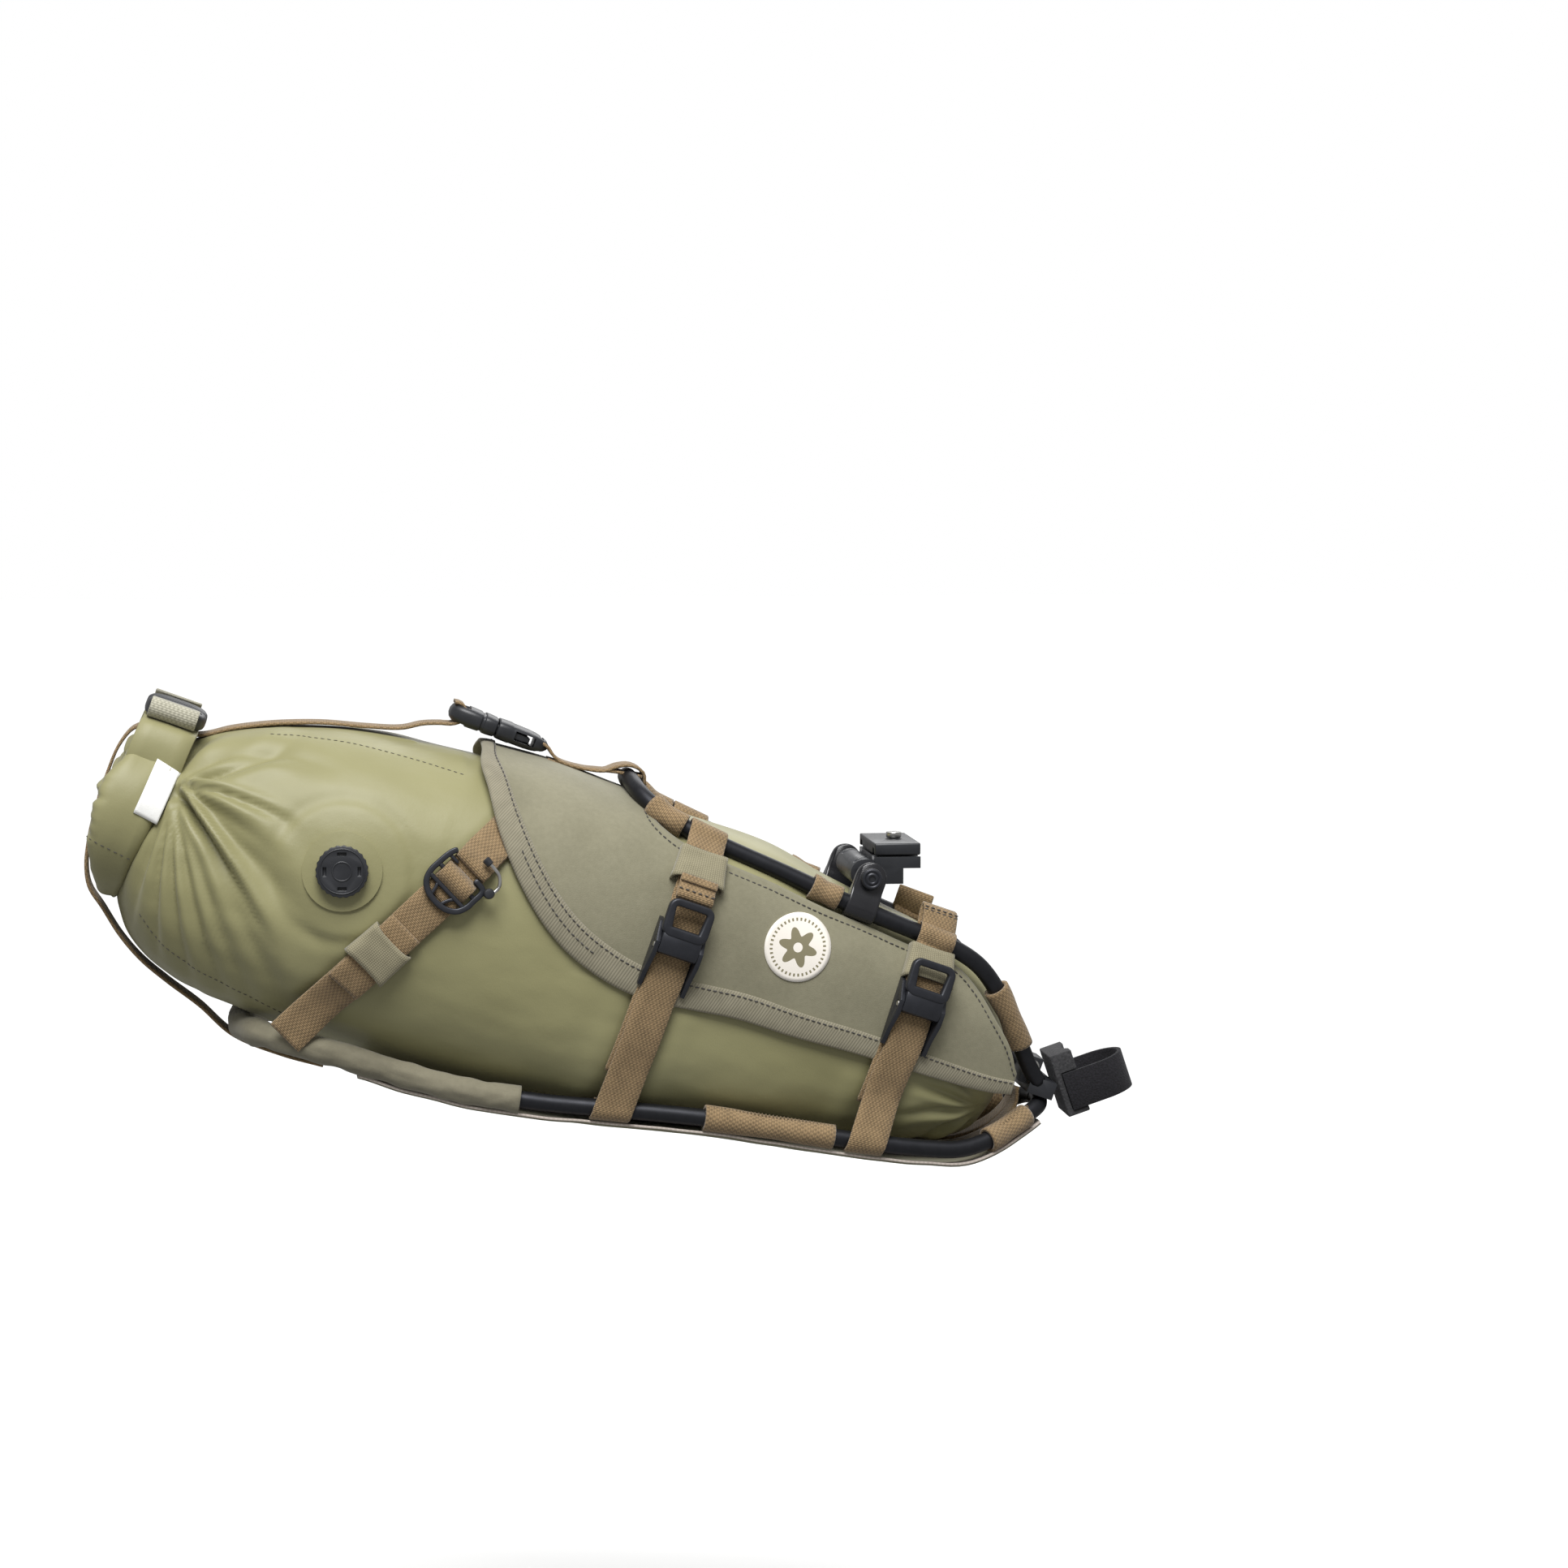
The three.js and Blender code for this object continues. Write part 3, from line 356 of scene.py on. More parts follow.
def smoothLine(points, step, fine=14):  # a centripetal curve through the points, evenly spaced
    p = [np.array(q, float) for q in points]
    p = [2 * p[0] - p[1], *p, 2 * p[-1] - p[-2]]
    f = np.linspace(0, 1, fine, endpoint=False)[:, None]
    run = []
    for i in range(1, len(p) - 2):
        a, b, c = (max(np.linalg.norm((p[k + 1] - p[k])[:3]), 1e-6) ** 0.5 for k in (i - 1, i, i + 1))
        into = ((p[i] - p[i - 1]) / a - (p[i + 1] - p[i - 1]) / (a + b) + (p[i + 1] - p[i]) / b) * b
        leave = ((p[i + 1] - p[i]) / b - (p[i + 2] - p[i]) / (b + c) + (p[i + 2] - p[i + 1]) / c) * b
        run.append(
            (2 * f**3 - 3 * f**2 + 1) * p[i]
            + (f**3 - 2 * f**2 + f) * into
            + (3 * f**2 - 2 * f**3) * p[i + 1]
            + (f**3 - f**2) * leave
        )
    line = np.vstack([*run, p[-2][None]])
    far = np.concatenate([[0], np.cumsum(np.linalg.norm(np.diff(line[:, :3], axis=0), axis=1))])
    at = np.linspace(0, far[-1], max(3, int(round(far[-1] / step)) + 1))
    return np.stack([np.interp(at, far, line[:, k]) for k in range(line.shape[1])], axis=1)


def unit(v):
    v = np.asarray(v, float)
    return v / np.linalg.norm(v, axis=-1, keepdims=True)


def tangents(line):
    return unit(np.gradient(line, axis=0))


def tubeRings(line, radius, around=28, wobble=None):
    along = tangents(line)
    up = np.cross(along, [0.13, 0.0, 1.0])
    up = unit(up)
    other = np.cross(along, up)
    rings = []
    for i, p in enumerate(line):
        turn = np.linspace(0, 2 * np.pi, around, endpoint=False)
        size = np.full(around, radius) if wobble is None else radius + wobble(i / (len(line) - 1), turn)
        rings.append(p + size[:, None] * (np.cos(turn)[:, None] * up[i] + np.sin(turn)[:, None] * other[i]))
    return rings


# ---------- the harness form ----------

formStations = [
    (-372, 57, -112, 80, 2.5),
    (-330, 60, -110, 80, 2.6),
    (-287, 59, -106, 77, 2.8),
    (-241, 60, -100, 72, 3.0),
    (-206, 60, -92, 67, 3.0),
    (-172, 54, -84, 62, 3.0),
    (-140, 50, -75, 57, 3.0),
    (-117, 47, -70, 54, 3.0),
    (-87, 40, -62, 48, 3.0),
    (-62, 30, -52, 41, 3.0),
    (-42, 16, -36, 34, 3.0),
]
drybagStations = [
    (-522, -6, -62, 32, 2.0),
    (-517, 1, -77, 41, 2.0),
    (-513, 5, -84, 47, 2.1),
    (-506, 11, -93, 55, 2.1),
    (-496, 18.5, -100, 62, 2.2),
    (-482, 26, -105.5, 68.5, 2.3),
    (-462, 34, -110, 74, 2.4),
    (-432, 43, -112, 79, 2.4),
    (-395, 49, -112, 81, 2.5),
    (-350, 53, -112, 80, 2.5),
    (-300, 56, -108, 78, 2.7),
    (-241, 58.5, -101, 71, 3.0),
    (-206, 58.5, -93, 66, 3.0),
    (-172, 52.5, -85, 61, 3.0),
    (-140, 48.5, -76, 56, 3.0),
    (-117, 45.5, -71, 53, 3.0),
    (-87, 36, -63, 46, 2.8),
    (-70, 24, -58, 38, 2.6),
    (-58, 8, -48, 27, 2.4),
    (-52, -10, -36, 13, 2.2),
]
lowerHalf = [
    (-27, 0.5, -21.5),
    (-27.5, 10, -22),
    (-30, 20, -24.5),
    (-40, 30, -35),
    (-52, 39, -47),
    (-66, 46, -55.5),
    (-84, 50.5, -60.5),
    (-117, 56, -67),
    (-165, 60, -75),
    (-199, 62, -81),
    (-244, 62, -91.5),
    (-284, 62, -101),
    (-325, 61, -108),
    (-385, 60, -111),
    (-410, 56, -113),
    (-426, 45, -115.5),
    (-434, 25, -118),
    (-435, 0, -118.5),
]
upperHalf = [
    (-33.5, 19, -12),
    (-41, 22, -6),
    (-49, 27, 2),
    (-65, 35, 19),
    (-77, 39, 29.5),
    (-89, 42, 37),
    (-103, 44, 41),
    (-125, 46, 43),
    (-159, 48, 45),
    (-200, 48, 49),
    (-232, 48, 51.5),
    (-256, 47, 54),
    (-272, 43, 57.5),
    (-283, 34, 62),
    (-288, 18, 65.5),
    (-289, 0, 66.5),
]
strapLift = 4.2  # the middle of a strap's thickness, measured out from the form
tubeRadius = 4.5
webbingWidth = 20
webbingThickness = 1.6


def rowAt(table, station):
    last = len(table) - 1
    i = 0
    while i < last - 1 and table[i + 1][0] < station:
        i += 1
    p0, p1, p2, p3 = (table[min(max(k, 0), last)] for k in (i - 1, i, i + 1, i + 2))
    f = min(max((station - p1[0]) / (p2[0] - p1[0]), 0), 1)
    values = []
    for c in range(1, 5):
        into = (p2[c] - p0[c]) / (p2[0] - p0[0]) * (p2[0] - p1[0]) if p2[0] > p0[0] else 0
        leave = (p3[c] - p1[c]) / (p3[0] - p1[0]) * (p2[0] - p1[0]) if p3[0] > p1[0] else 0
        values.append(
            (2 * f**3 - 3 * f**2 + 1) * p1[c]
            + (f**3 - 2 * f**2 + f) * into
            + (3 * f**2 - 2 * f**3) * p2[c]
            + (f**3 - f**2) * leave
        )
    return values


halfRings = {}


def halfRing(table, station, offset):  # from the crown down one side to the keel
    key = (id(table), round(station, 2), round(offset, 2))
    if key not in halfRings:
        top, bottom, halfWidth, square = rowAt(table, station)
        turn = np.linspace(np.pi / 2, -np.pi / 2, 361)
        c, s = np.maximum(np.cos(turn), 0), np.sin(turn)
        c[0] = c[-1] = 0
        y = (halfWidth + offset) * c ** (2 / square)
        t = (top + bottom) / 2 + ((top - bottom) / 2 + offset) * np.sign(s) * np.abs(s) ** (2 / square)
        run = np.concatenate([[0], np.cumsum(np.hypot(np.diff(y), np.diff(t)))])
        halfRings[key] = (y, t, run / run[-1])
    return halfRings[key]


def formPoint(table, station, share, side, offset):  # share is 0 at the crown and 1 at the keel
    y, t, run = halfRing(table, station, offset)
    return np.array([station, side * np.interp(share, run, y), np.interp(share, run, t)])


def shareAt(table, station, height):
    y, t, run = halfRing(table, station, 0)
    return float(np.interp(-height, -t, run))


def onForm(station, height, side, offset, table=formStations):
    top, bottom, halfWidth, square = rowAt(table, station)
    middle = (top + bottom) / 2
    reach = min(abs(height - middle) / ((top - bottom) / 2 + offset), 0.995)
    return np.array([station, side * (halfWidth + offset) * (1 - reach**square) ** (1 / square), height])


def outOf(station, height, side, table=formStations):
    p = onForm(station, height, side, 0, table)
    ahead = onForm(station + 2, height, side, 0, table) - p
    above = onForm(station, height + 2, side, 0, table) - p
    out = unit(np.cross(ahead, above))
    return -out if out[1] * side < 0 else out


def turnedAboutY(v, angle):
    c, s = math.cos(angle), math.sin(angle)
    return np.array([v[0] * c + v[2] * s, v[1], -v[0] * s + v[2] * c])


class Place:  # x along the bag, y out of the form, z up its side
    def __init__(self, station, height, side, offset, turn=0.0, table=formStations):
        out = outOf(station, height, side, table)
        up = unit(np.array([0, 0, 1]) - out * out[2])
        up = turnedAboutY(up, turn)
        up = unit(up - out * (up @ out))
        self.x, self.y, self.z = np.cross(out, up), out, up
        self.origin = onForm(station, height, side, 0, table) + out * offset

    def at(self, points):
        points = np.asarray(points, float).reshape(-1, 3)
        return self.origin + points @ np.array([self.x, self.y, self.z])


def halfLine(half, side):
    return smoothLine([(s, side * w, t) for s, w, t in half], 1.0)


tubeLines = {(name, side): halfLine(half, side) for name, half in (("lower", lowerHalf), ("upper", upperHalf)) for side in (1, -1)}


def wholeLine(half, step):
    return smoothLine([(s, w, t) for s, w, t in half] + [(s, -w, t) for s, w, t in reversed(half)][1:], step)


def tubeAt(level, station, side):
    line = tubeLines[level, side]
    return line[np.argmin(np.abs(line[:, 0] - station))].copy()


def tubeSlope(level, station, side):
    along = tubeAt(level, station + 9, side) - tubeAt(level, station - 9, side)
    return along / along[0]


# ---------- frame tubes ----------


def makeTubes():
    for name, half, node in (("lower", lowerHalf, "lower_loop_tube"), ("upper", upperHalf, "upper_hoop_tube")):
        line = wholeLine(half, 2.0)
        piece = skin(node + "_bent", tubeRings(line, tubeRadius, 28), anodised)
        settle(piece, "root", "anodised_tube", node)


makeTubes()
print("tubes bent")

# ---------- drybag ----------

gatherPoint = (-508, -11)
valveAt = (-416, -21)
# angle from forwards, turn of the fold per mm, depth in mm, width at 40 mm, how far it reaches
folds = [
    (104, -0.05, 3.0, 3.4, 34),
    (84, -0.35, 4.6, 4.0, 62),
    (60, -0.42, 5.6, 4.0, 84),
    (33, 0.10, 5.6, 3.4, 74),
    (17, -0.22, 4.4, 2.6, 64),
    (-3, -0.16, 2.6, 4.2, 70),
    (-17, -0.10, 3.6, 7.0, 130),
    (-34, -0.05, 7.0, 3.0, 96),
    (-41, -0.03, 4.2, 4.4, 150),
    (-55, 0.03, 4.0, 4.0, 150),
    (-66, 0.08, 4.6, 3.0, 130),
    (-76, 0.10, 4.0, 2.6, 116),
    (-85, 0.10, 3.8, 2.2, 96),
    (-94, 0.08, 3.2, 2.2, 80),
    (-104, 0.08, 2.6, 2.2, 70),
]
frontFolds = [(150, 0.0, 2.0, 3, 40), (172, 0.1, 3.4, 3, 52), (194, 0.1, 3.6, 3, 56), (216, 0.25, 3.4, 3, 60), (240, 0.2, 2.6, 3, 44)]
diagonalLow, diagonalHigh = (-404, -88), (-350, 14)


def foldDepth(s, t, centre, table):  # how far inwards the cloth is drawn at a point of the side
    ds, dt = s - centre[0], t - centre[1]
    far = np.hypot(ds, dt) + 1e-6
    angle = np.degrees(np.arctan2(dt, ds))
    depth = np.zeros_like(far)
    for start, turn, deep, width, reach in table:
        offCentre = (angle - (start + turn * far) + 180) % 360 - 180
        aside = np.radians(offCentre) * far
        wide = width * (0.28 + 0.58 * np.sqrt(far / 40))
        envelope = np.clip(far / 9, 0, 1) * np.clip(1 - far / reach, 0, 1) ** 0.8
        x = aside / wide
        depth += 1.4 * deep * envelope * (np.exp(-np.abs(x) ** 1.25) - 0.6 * np.exp(-((x - 1.8) ** 2) / 1.3) - 0.25 * np.exp(-((x + 1.9) ** 2) / 1.6))
    return depth


def alongSegment(s, t, low, high):
    d = np.array(high, float) - np.array(low, float)
    k = ((s - low[0]) * d[0] + (t - low[1]) * d[1]) / (d @ d)
    kk = np.clip(k, -0.05, 1.2)
    return np.hypot(s - low[0] - kk * d[0], t - low[1] - kk * d[1])


def makeDrybag():
    settings = {"ringStep": 2.4, "around": 236, "lump": 1.6, "crinkle": 0.35}
    stations = np.concatenate([np.linspace(-522, -470, 44, endpoint=False), np.arange(-470, -52, settings["ringStep"]), [-52.0]])
    half = settings["around"] // 2
    shares = np.linspace(0, 1, half + 1)
    rings = []
    for station in stations:
        y, t, run = halfRing(drybagStations, station, 0)
        ys, ts = np.interp(shares, run, y), np.interp(shares, run, t)
        left = np.stack([np.full(half + 1, station), ys, ts], axis=1)
        right = left[1:-1][::-1] * [1, -1, 1]
        rings.append(np.vstack([left, right]))
    grid = np.array(rings)
    along = np.gradient(grid, axis=0)
    around = (np.roll(grid, -1, axis=1) - np.roll(grid, 1, axis=1)) / 2
    out = np.cross(around, along)
    out = unit(out + 1e-9)
    if (out[len(grid) // 2, :, 1] * grid[len(grid) // 2, :, 1]).sum() < 0:
        out = -out
    s, y, t = grid[..., 0], grid[..., 1], grid[..., 2]
    sideFace = np.clip(np.abs(y) / np.maximum(np.abs(y).max(axis=1, keepdims=True), 1e-6) * 1.6 - 0.25, 0, 1)
    inward = np.zeros_like(s)
    inward += foldDepth(s, t, gatherPoint, folds) * (0.25 + 0.75 * sideFace)
    inward += foldDepth(s, t, (-57, -34), frontFolds) * sideFace
    for station in (-246, -116):
        band = np.exp(-(((s - station) / 11) ** 6))
        inward += 1.1 * band * np.clip((-t - 22) / 20, 0, 1)
        inward -= 0.7 * np.exp(-(((np.abs(s - station) - 18) / 6) ** 2)) * np.clip((-t - 26) / 12, 0, 1)
    inward += 1.3 * np.exp(-((alongSegment(s, t, diagonalLow, diagonalHigh) / 10.5) ** 6)) * sideFace
    far = np.hypot(s - valveAt[0], t - valveAt[1])
    nearSide = (y < 0) * sideFace
    ringEdge = np.clip((34 - far) / 2.0, 0, 1)
    inward -= 0.7 * ringEdge * nearSide
    inward += 0.7 * np.exp(-(((far - 36.5) / 3.4) ** 2)) * nearSide
    calm = 1 - 0.85 * np.exp(-((far / 34) ** 4)) * nearSide
    lumps = np.zeros_like(s)
    for i in range(s.shape[0]):
        for k in range(s.shape[1]):
            p = Vector((s[i, k], y[i, k], t[i, k]))
            big = noise.noise(p / 46.0)
            small = noise.noise(Vector((p.x / 22.0, p.y / 9.0 + 7.0, p.z / 9.0)))
            lumps[i, k] = settings["lump"] * big + settings["crinkle"] * small
    underPanel = np.clip((s + 372) / 10, 0, 1) * (t > -30)
    inward += (lumps + 0.3) * calm
    inward = np.where((underPanel > 0) & (inward < 0.4), 0.4, inward)
    underStrap = (np.abs(y) < 13) & (t > 0) & (s > -512) & (s < -400)
    inward = np.where(underStrap, np.clip(inward, -0.6, 0.3), inward)
    atKeel = (np.abs(y) < 12) & (t < -60) & (s > -516) & (s < -455)
    inward = np.where(atKeel, np.clip(inward, -0.6, 0.3), inward)
    ends = np.clip((s + 522) / 7, 0, 1) * np.clip((-52 - s) / 10, 0, 1)
    moved = grid - out * (inward * ends)[..., None]
    return moved


bagGrid = makeDrybag()
drybag = skin("drybag", bagGrid, coatedOlive)
print("drybag folded", len(drybag.data.polygons))


def treeOf(piece):
    dg = bpy.context.evaluated_depsgraph_get()
    return BVHTree.FromObject(piece, dg)


bagTree = treeOf(drybag)


def drape(points, tree, lift, side):  # drops points of the bag's axes onto a surface, from the side
    rows = []
    direction = Vector((0, -side, 0))
    for s, t in points:
        start = rowPoint(s, side * 150, t)
        hit, normal, _, _ = tree.ray_cast(start, direction)
        if hit is None:
            hit, normal = rowPoint(s, side * 60, t), Vector((0, side, 0))
        if normal.y * side < 0:
            normal = -normal
        rows.append(np.array(hit + normal * lift * metre))
    return np.array(rows)


rollSettings = {"front": -511.0, "height": -33, "across": 43, "up": 37, "open": 0.40, "radial": 8.5}
rollRearEdge = [(-1, -526.5), (-0.75, -534), (-0.4, -541), (0, -543.5), (0.5, -540), (1, -532)]


def makeRoll():
    r = rollSettings
    steps, section = 170, 44
    rings = []
    for i in range(steps):
        k = i / (steps - 1)
        turn = math.pi / 2 + r["open"] + (2 * math.pi - 2 * r["open"]) * k
        up = math.sin(turn)
        rear = np.interp(up, *zip(*rollRearEdge))
        front = r["front"] + 4.5 * up
        centre = np.array([(front + rear) / 2, r["across"] * math.cos(turn), r["height"] + r["up"] * up])
        radial = unit(np.array([0, math.cos(turn) / r["across"], math.sin(turn) / r["up"]]))
        low = max(0.0, -up)
        axial = (front - rear) / 2
        thick = r["radial"] * (1 + 0.12 * low)
        pinch = 1 - 0.45 * math.exp(-((min(k, 1 - k) / 0.035) ** 2))
        ring = []
        for j in range(section):
            a = 2 * math.pi * j / section
            c, s = math.cos(a), math.sin(a)
            x = axial * np.sign(c) * abs(c) ** 0.5
            z = thick * pinch * np.sign(s) * abs(s) ** 0.55
            wave = 1.5 * noise.noise(Vector((turn * 4.6, 3.1, 0.4))) + 0.7 * noise.noise(Vector((turn * 11, 8.1, 2.0)))
            if c < 0:
                x -= 1.9 * wave * abs(c) * (1 if up > -0.5 else 0.3)
            z += 0.9 * noise.noise(Vector((turn * 2.2, x / 9.0, 5.0)))
            z -= 0.9 * math.exp(-(((x - axial * 0.42 + 2 * math.sin(turn * 2)) / 1.4) ** 2)) * (1 if s > 0 else 0)
            ring.append(centre + np.array([1, 0, 0]) * x + radial * z)
        rings.append(ring)
    return skin("rolled_top", rings, coatedOlive)


roll = makeRoll()
rollTree = treeOf(roll)
print("top rolled")


def makeLabel():
    corners = np.array([(-519.5, 3.5), (-507.0, 0.5), (-509.5, -32), (-522.5, -30)], float)
    wide, long = 9, 17
    points = []
    for i in range(long):
        for j in range(wide):
            a, b = i / (long - 1), j / (wide - 1)
            top = corners[0] * (1 - b) + corners[1] * b
            bottom = corners[3] * (1 - b) + corners[2] * b
            points.append(top * (1 - a) + bottom * a)
    placed = drape(points, rollTree, 0.7, -1)
    lying = placed.reshape(long, wide, 3)
    bow = np.polyval(np.polyfit(np.arange(long), lying[:, : wide // 2, 1].min(axis=1), 2), np.arange(long))
    lying[:, :, 1] = bow[:, None]  # it stands straight across the roll and past its front edge
    placed = lying.reshape(-1, 3)
    faces = [(i * wide + j, i * wide + j + 1, (i + 1) * wide + j + 1, (i + 1) * wide + j) for i in range(long - 1) for j in range(wide - 1)]
    uv = [((points[v][0]) * metre, (points[v][1]) * metre) for f in faces for v in f]
    piece = meshPiece("blank_label", placed, faces, labelCloth, uv)
    thick = piece.modifiers.new("thickness", "SOLIDIFY")
    thick.thickness = 0.0006
    thick.offset = 0
    settle(piece, "root", None)


makeLabel()

# ---------- harness panel ----------

panelRearEdge = [(-366, 50), (-359, 40), (-350, 26), (-336, 9), (-319, -7), (-303, -18), (-284, -26), (-259, -31), (-226, -29), (-195, -26), (-127, -24), (-72, -23), (-49, -20)]
panelFrontEdge = [(-276, 53), (-262, 47), (-240, 44), (-200, 41), (-160, 37), (-125, 34), (-100, 31.5), (-87, 25), (-73, 14), (-59, 2), (-50, -10)]
panelSheet = {"middle": 1.3, "thickness": 1.2, "along": 150, "across": 44}


def sharesOf(edge):
    return [(s, shareAt(formStations, s, t)) for s, t in edge]


def evenly(points, count, weight=170):  # spaced by length, with shares weighed as millimetres
    scaled = [(s, share * weight, 0) for s, share in points]
    line = smoothLine(scaled, 0.5)
    at = np.linspace(0, len(line) - 1, count)
    pick = np.stack([np.interp(at, np.arange(len(line)), line[:, k]) for k in (0, 1)], axis=1)
    pick[:, 1] /= weight
    return pick


def panelEdges(count):
    lower = evenly([(-367, 0.0), (-366.7, 0.09)] + sharesOf(panelRearEdge), count)
    upper = evenly([(-367, 0.0), (-345, 0.0), (-318, 0.0), (-291, 0.0), (-284, 0.03)] + sharesOf(panelFrontEdge), count)
    lower[:, 1] = np.clip(lower[:, 1], 0, 1)
    upper[:, 1] = np.clip(upper[:, 1], 0, 1)
    return lower, upper


def panelPoint(lower, upper, inwards, offset, side):
    way = upper - lower
    size = max(math.hypot(way[0], way[1] * 170), 1e-3)
    at = lower + way / size * inwards
    return formPoint(formStations, at[0], max(at[1], 0), side, offset)


def makePanel():
    lower, upper = panelEdges(panelSheet["along"])
    halves = []
    for side in (1, -1):
        points = []
        for i in range(panelSheet["along"]):
            for k in range(panelSheet["across"]):
                f = k / (panelSheet["across"] - 1)
                at = lower[i] * (1 - f) + upper[i] * f
                p = formPoint(formStations, at[0], max(at[1], 0), side, panelSheet["middle"])
                p[1] += side * 0.35 * noise.noise(Vector(p / 26.0))
                points.append(p)
        n = panelSheet["across"]
        faces = [(i * n + k, i * n + k + 1, (i + 1) * n + k + 1, (i + 1) * n + k) for i in range(1, panelSheet["along"] - 1) for k in range(n - 1)]
        faces += [(0, n + k + 1, n + k) for k in range(n - 1)]
        halves.append((np.array(points), faces))
    points = np.vstack([halves[0][0], halves[1][0]])
    shift = len(halves[0][0])
    faces = halves[0][1] + [tuple(v + shift for v in f) for f in halves[1][1]]
    rowPoints = toRow(points)
    uv = [(points[v][0] * metre, points[v][2] * metre) for f in faces for v in f]
    piece = meshPiece("waxed_panel", rowPoints, faces, waxedOlive, uv)
    work = bmesh.new()
    work.from_mesh(piece.data)
    bmesh.ops.remove_doubles(work, verts=work.verts, dist=0.0004)
    loose = [v for v in work.verts if not v.link_faces]
    bmesh.ops.delete(work, geom=loose, context="VERTS")
    bmesh.ops.recalc_face_normals(work, faces=work.faces)
    middleFace = max(work.faces, key=lambda f: f.calc_center_median().z)
    if middleFace.normal.z < 0:
        bmesh.ops.reverse_faces(work, faces=work.faces)
    work.to_mesh(piece.data)
    work.free()
    thick = piece.modifiers.new("thickness", "SOLIDIFY")
    thick.thickness = panelSheet["thickness"] * metre
    thick.offset = 0
    settle(piece, "root", "waxed_cloth", "harness_panel")
    return piece


panel = makePanel()
panelTree = treeOf(panel)
print("panel cut")


def makeBinding():
    count = 260
    lower, upper = panelEdges(count)
    profile = [(-0.9, 1.3), (-0.6, 2.3), (0.3, 2.75), (3, 2.95), (6.5, 2.95), (9.2, 2.7), (9.6, 2.2), (9.2, 1.0), (6.5, 0.5), (3, 0.3), (0.3, 0.25), (-0.6, 0.5)]
    right = [[panelPoint(lower[i], upper[i], w, o, -1) for w, o in profile] for i in range(count - 1, 8, -1)]
    left = [[panelPoint(lower[i], upper[i], w, o, 1) for w, o in profile] for i in range(9, count)]
    crown = []
    for k in range(1, 12):  # straight across the crown between the two sides
        f = k / 12
        a, b = np.array(right[-1]), np.array(left[0])
        mix = a * (1 - f) + b * f
        mix[:, 2] += 0.9 * math.sin(math.pi * f)
        crown.append(mix)
    piece = skin("panel_binding", np.array(right + crown + left), grosgrain)
    return settle(piece, "root", "waxed_cloth")


makeBinding()

# ---------- bottom panel ----------


def makeBottomPanel():
    settings = {"drop": 7.45, "sag": 4.0, "stations": 90, "across": 40, "thickness": 1.4}
    line = tubeLines["lower", 1]
    edge = line[(line[:, 0] < -31) & (line[:, 0] > -374)]
    picks = np.linspace(0, len(edge) - 1, settings["stations"] + 1).round().astype(int)
    rows, edges = [], {1: [], -1: []}
    for i, at in enumerate(picks):
        p = edge[at]
        along = edge[min(at + 4, len(edge) - 1)] - edge[max(at - 4, 0)]
        along = unit(np.array([along[0], 0, along[2]]))
        down = np.array([along[2], 0, -along[0]]) * (-1 if along[0] < 0 else 1)
        sag = settings["sag"] * math.sin(math.pi * i / settings["stations"])
        row = []
        for k in range(settings["across"] + 1):
            y = 2 * k / settings["across"] - 1
            ripple = 0.5 * noise.noise(Vector((p[0] / 18.0, y * 3, 0))) * (abs(y) > 0.8)
            away = settings["drop"] + settings["thickness"] / 2 + sag * (1 - y**4) + ripple
            row.append(np.array([p[0], y * (p[1] + 1), p[2]]) + down * away)
        rows.append(row)
        for side in (1, -1):
            outer = row[-1] if side > 0 else row[0]
            inner = row[-6] if side > 0 else row[5]
            edges[side].append((outer, unit(inner - outer), down))
    rows = np.array(rows)
    n = settings["across"] + 1
    points = toRow(rows)
    faces = [(i * n + k, i * n + k + 1, (i + 1) * n + k + 1, (i + 1) * n + k) for i in range(len(rows) - 1) for k in range(n - 1)]
    flat = rows.reshape(-1, 3)
    uv = [(flat[v][0] * metre, flat[v][1] * metre) for f in faces for v in f]
    piece = meshPiece("belly_panel", points, faces, waxedOlive, uv)
    thick = piece.modifiers.new("thickness", "SOLIDIFY")
    thick.thickness = settings["thickness"] * metre
    thick.offset = 0
    settle(piece, "root", "waxed_cloth", "bottom_panel")
    for name, side in sides.items():
        rings = []
        for outer, inwards, down in edges[side]:
            profile = [(-0.9, -0.3), (-0.6, -1.3), (3, -1.4), (7.5, -1.2), (7.7, -0.8), (7.5, -0.4), (3, -0.4), (-0.6, 0.0)]
            rings.append([outer + inwards * w + down * d for w, d in profile])
        hem = skin("belly_hem_" + name, rings, edgeTape)
        settle(hem, "root", "waxed_cloth")
    return piece


belly = makeBottomPanel()
print("belly panel made")

# ---------- webbing ----------


def ribbonRings(line, across, width=webbingWidth, thickness=webbingThickness, curl=0.0):
    along = tangents(line)
    across = unit(across)
    out = unit(np.cross(across, along))
    across = unit(np.cross(along, out))
    w, h = width / 2, thickness / 2
    section = [(-w, -h * 0.4), (-w + 0.5, -h), (-w * 0.5, -h), (0, -h), (w * 0.5, -h), (w - 0.5, -h), (w, -h * 0.4), (w, h * 0.4), (w - 0.5, h), (w * 0.5, h), (0, h), (-w * 0.5, h), (-w + 0.5, h), (-w, h * 0.4)]
    rings = []
    for i, p in enumerate(line):
        bend = curl * noise.noise(Vector((i * 0.11, 2.0, 0.5)))
        rings.append([p + across[i] * a + out[i] * (b + bend * (a / w) ** 2) for a, b in section])
    return rings


def ribbon(name, steps, material=brownWebbing, width=webbingWidth, thickness=webbingThickness, spacing=2.2, curl=0.0):
    rows = smoothLine([np.concatenate([p, a]) for p, a in steps], spacing)
    return skin(name, ribbonRings(rows[:, :3], rows[:, 3:], width, thickness, curl), material)


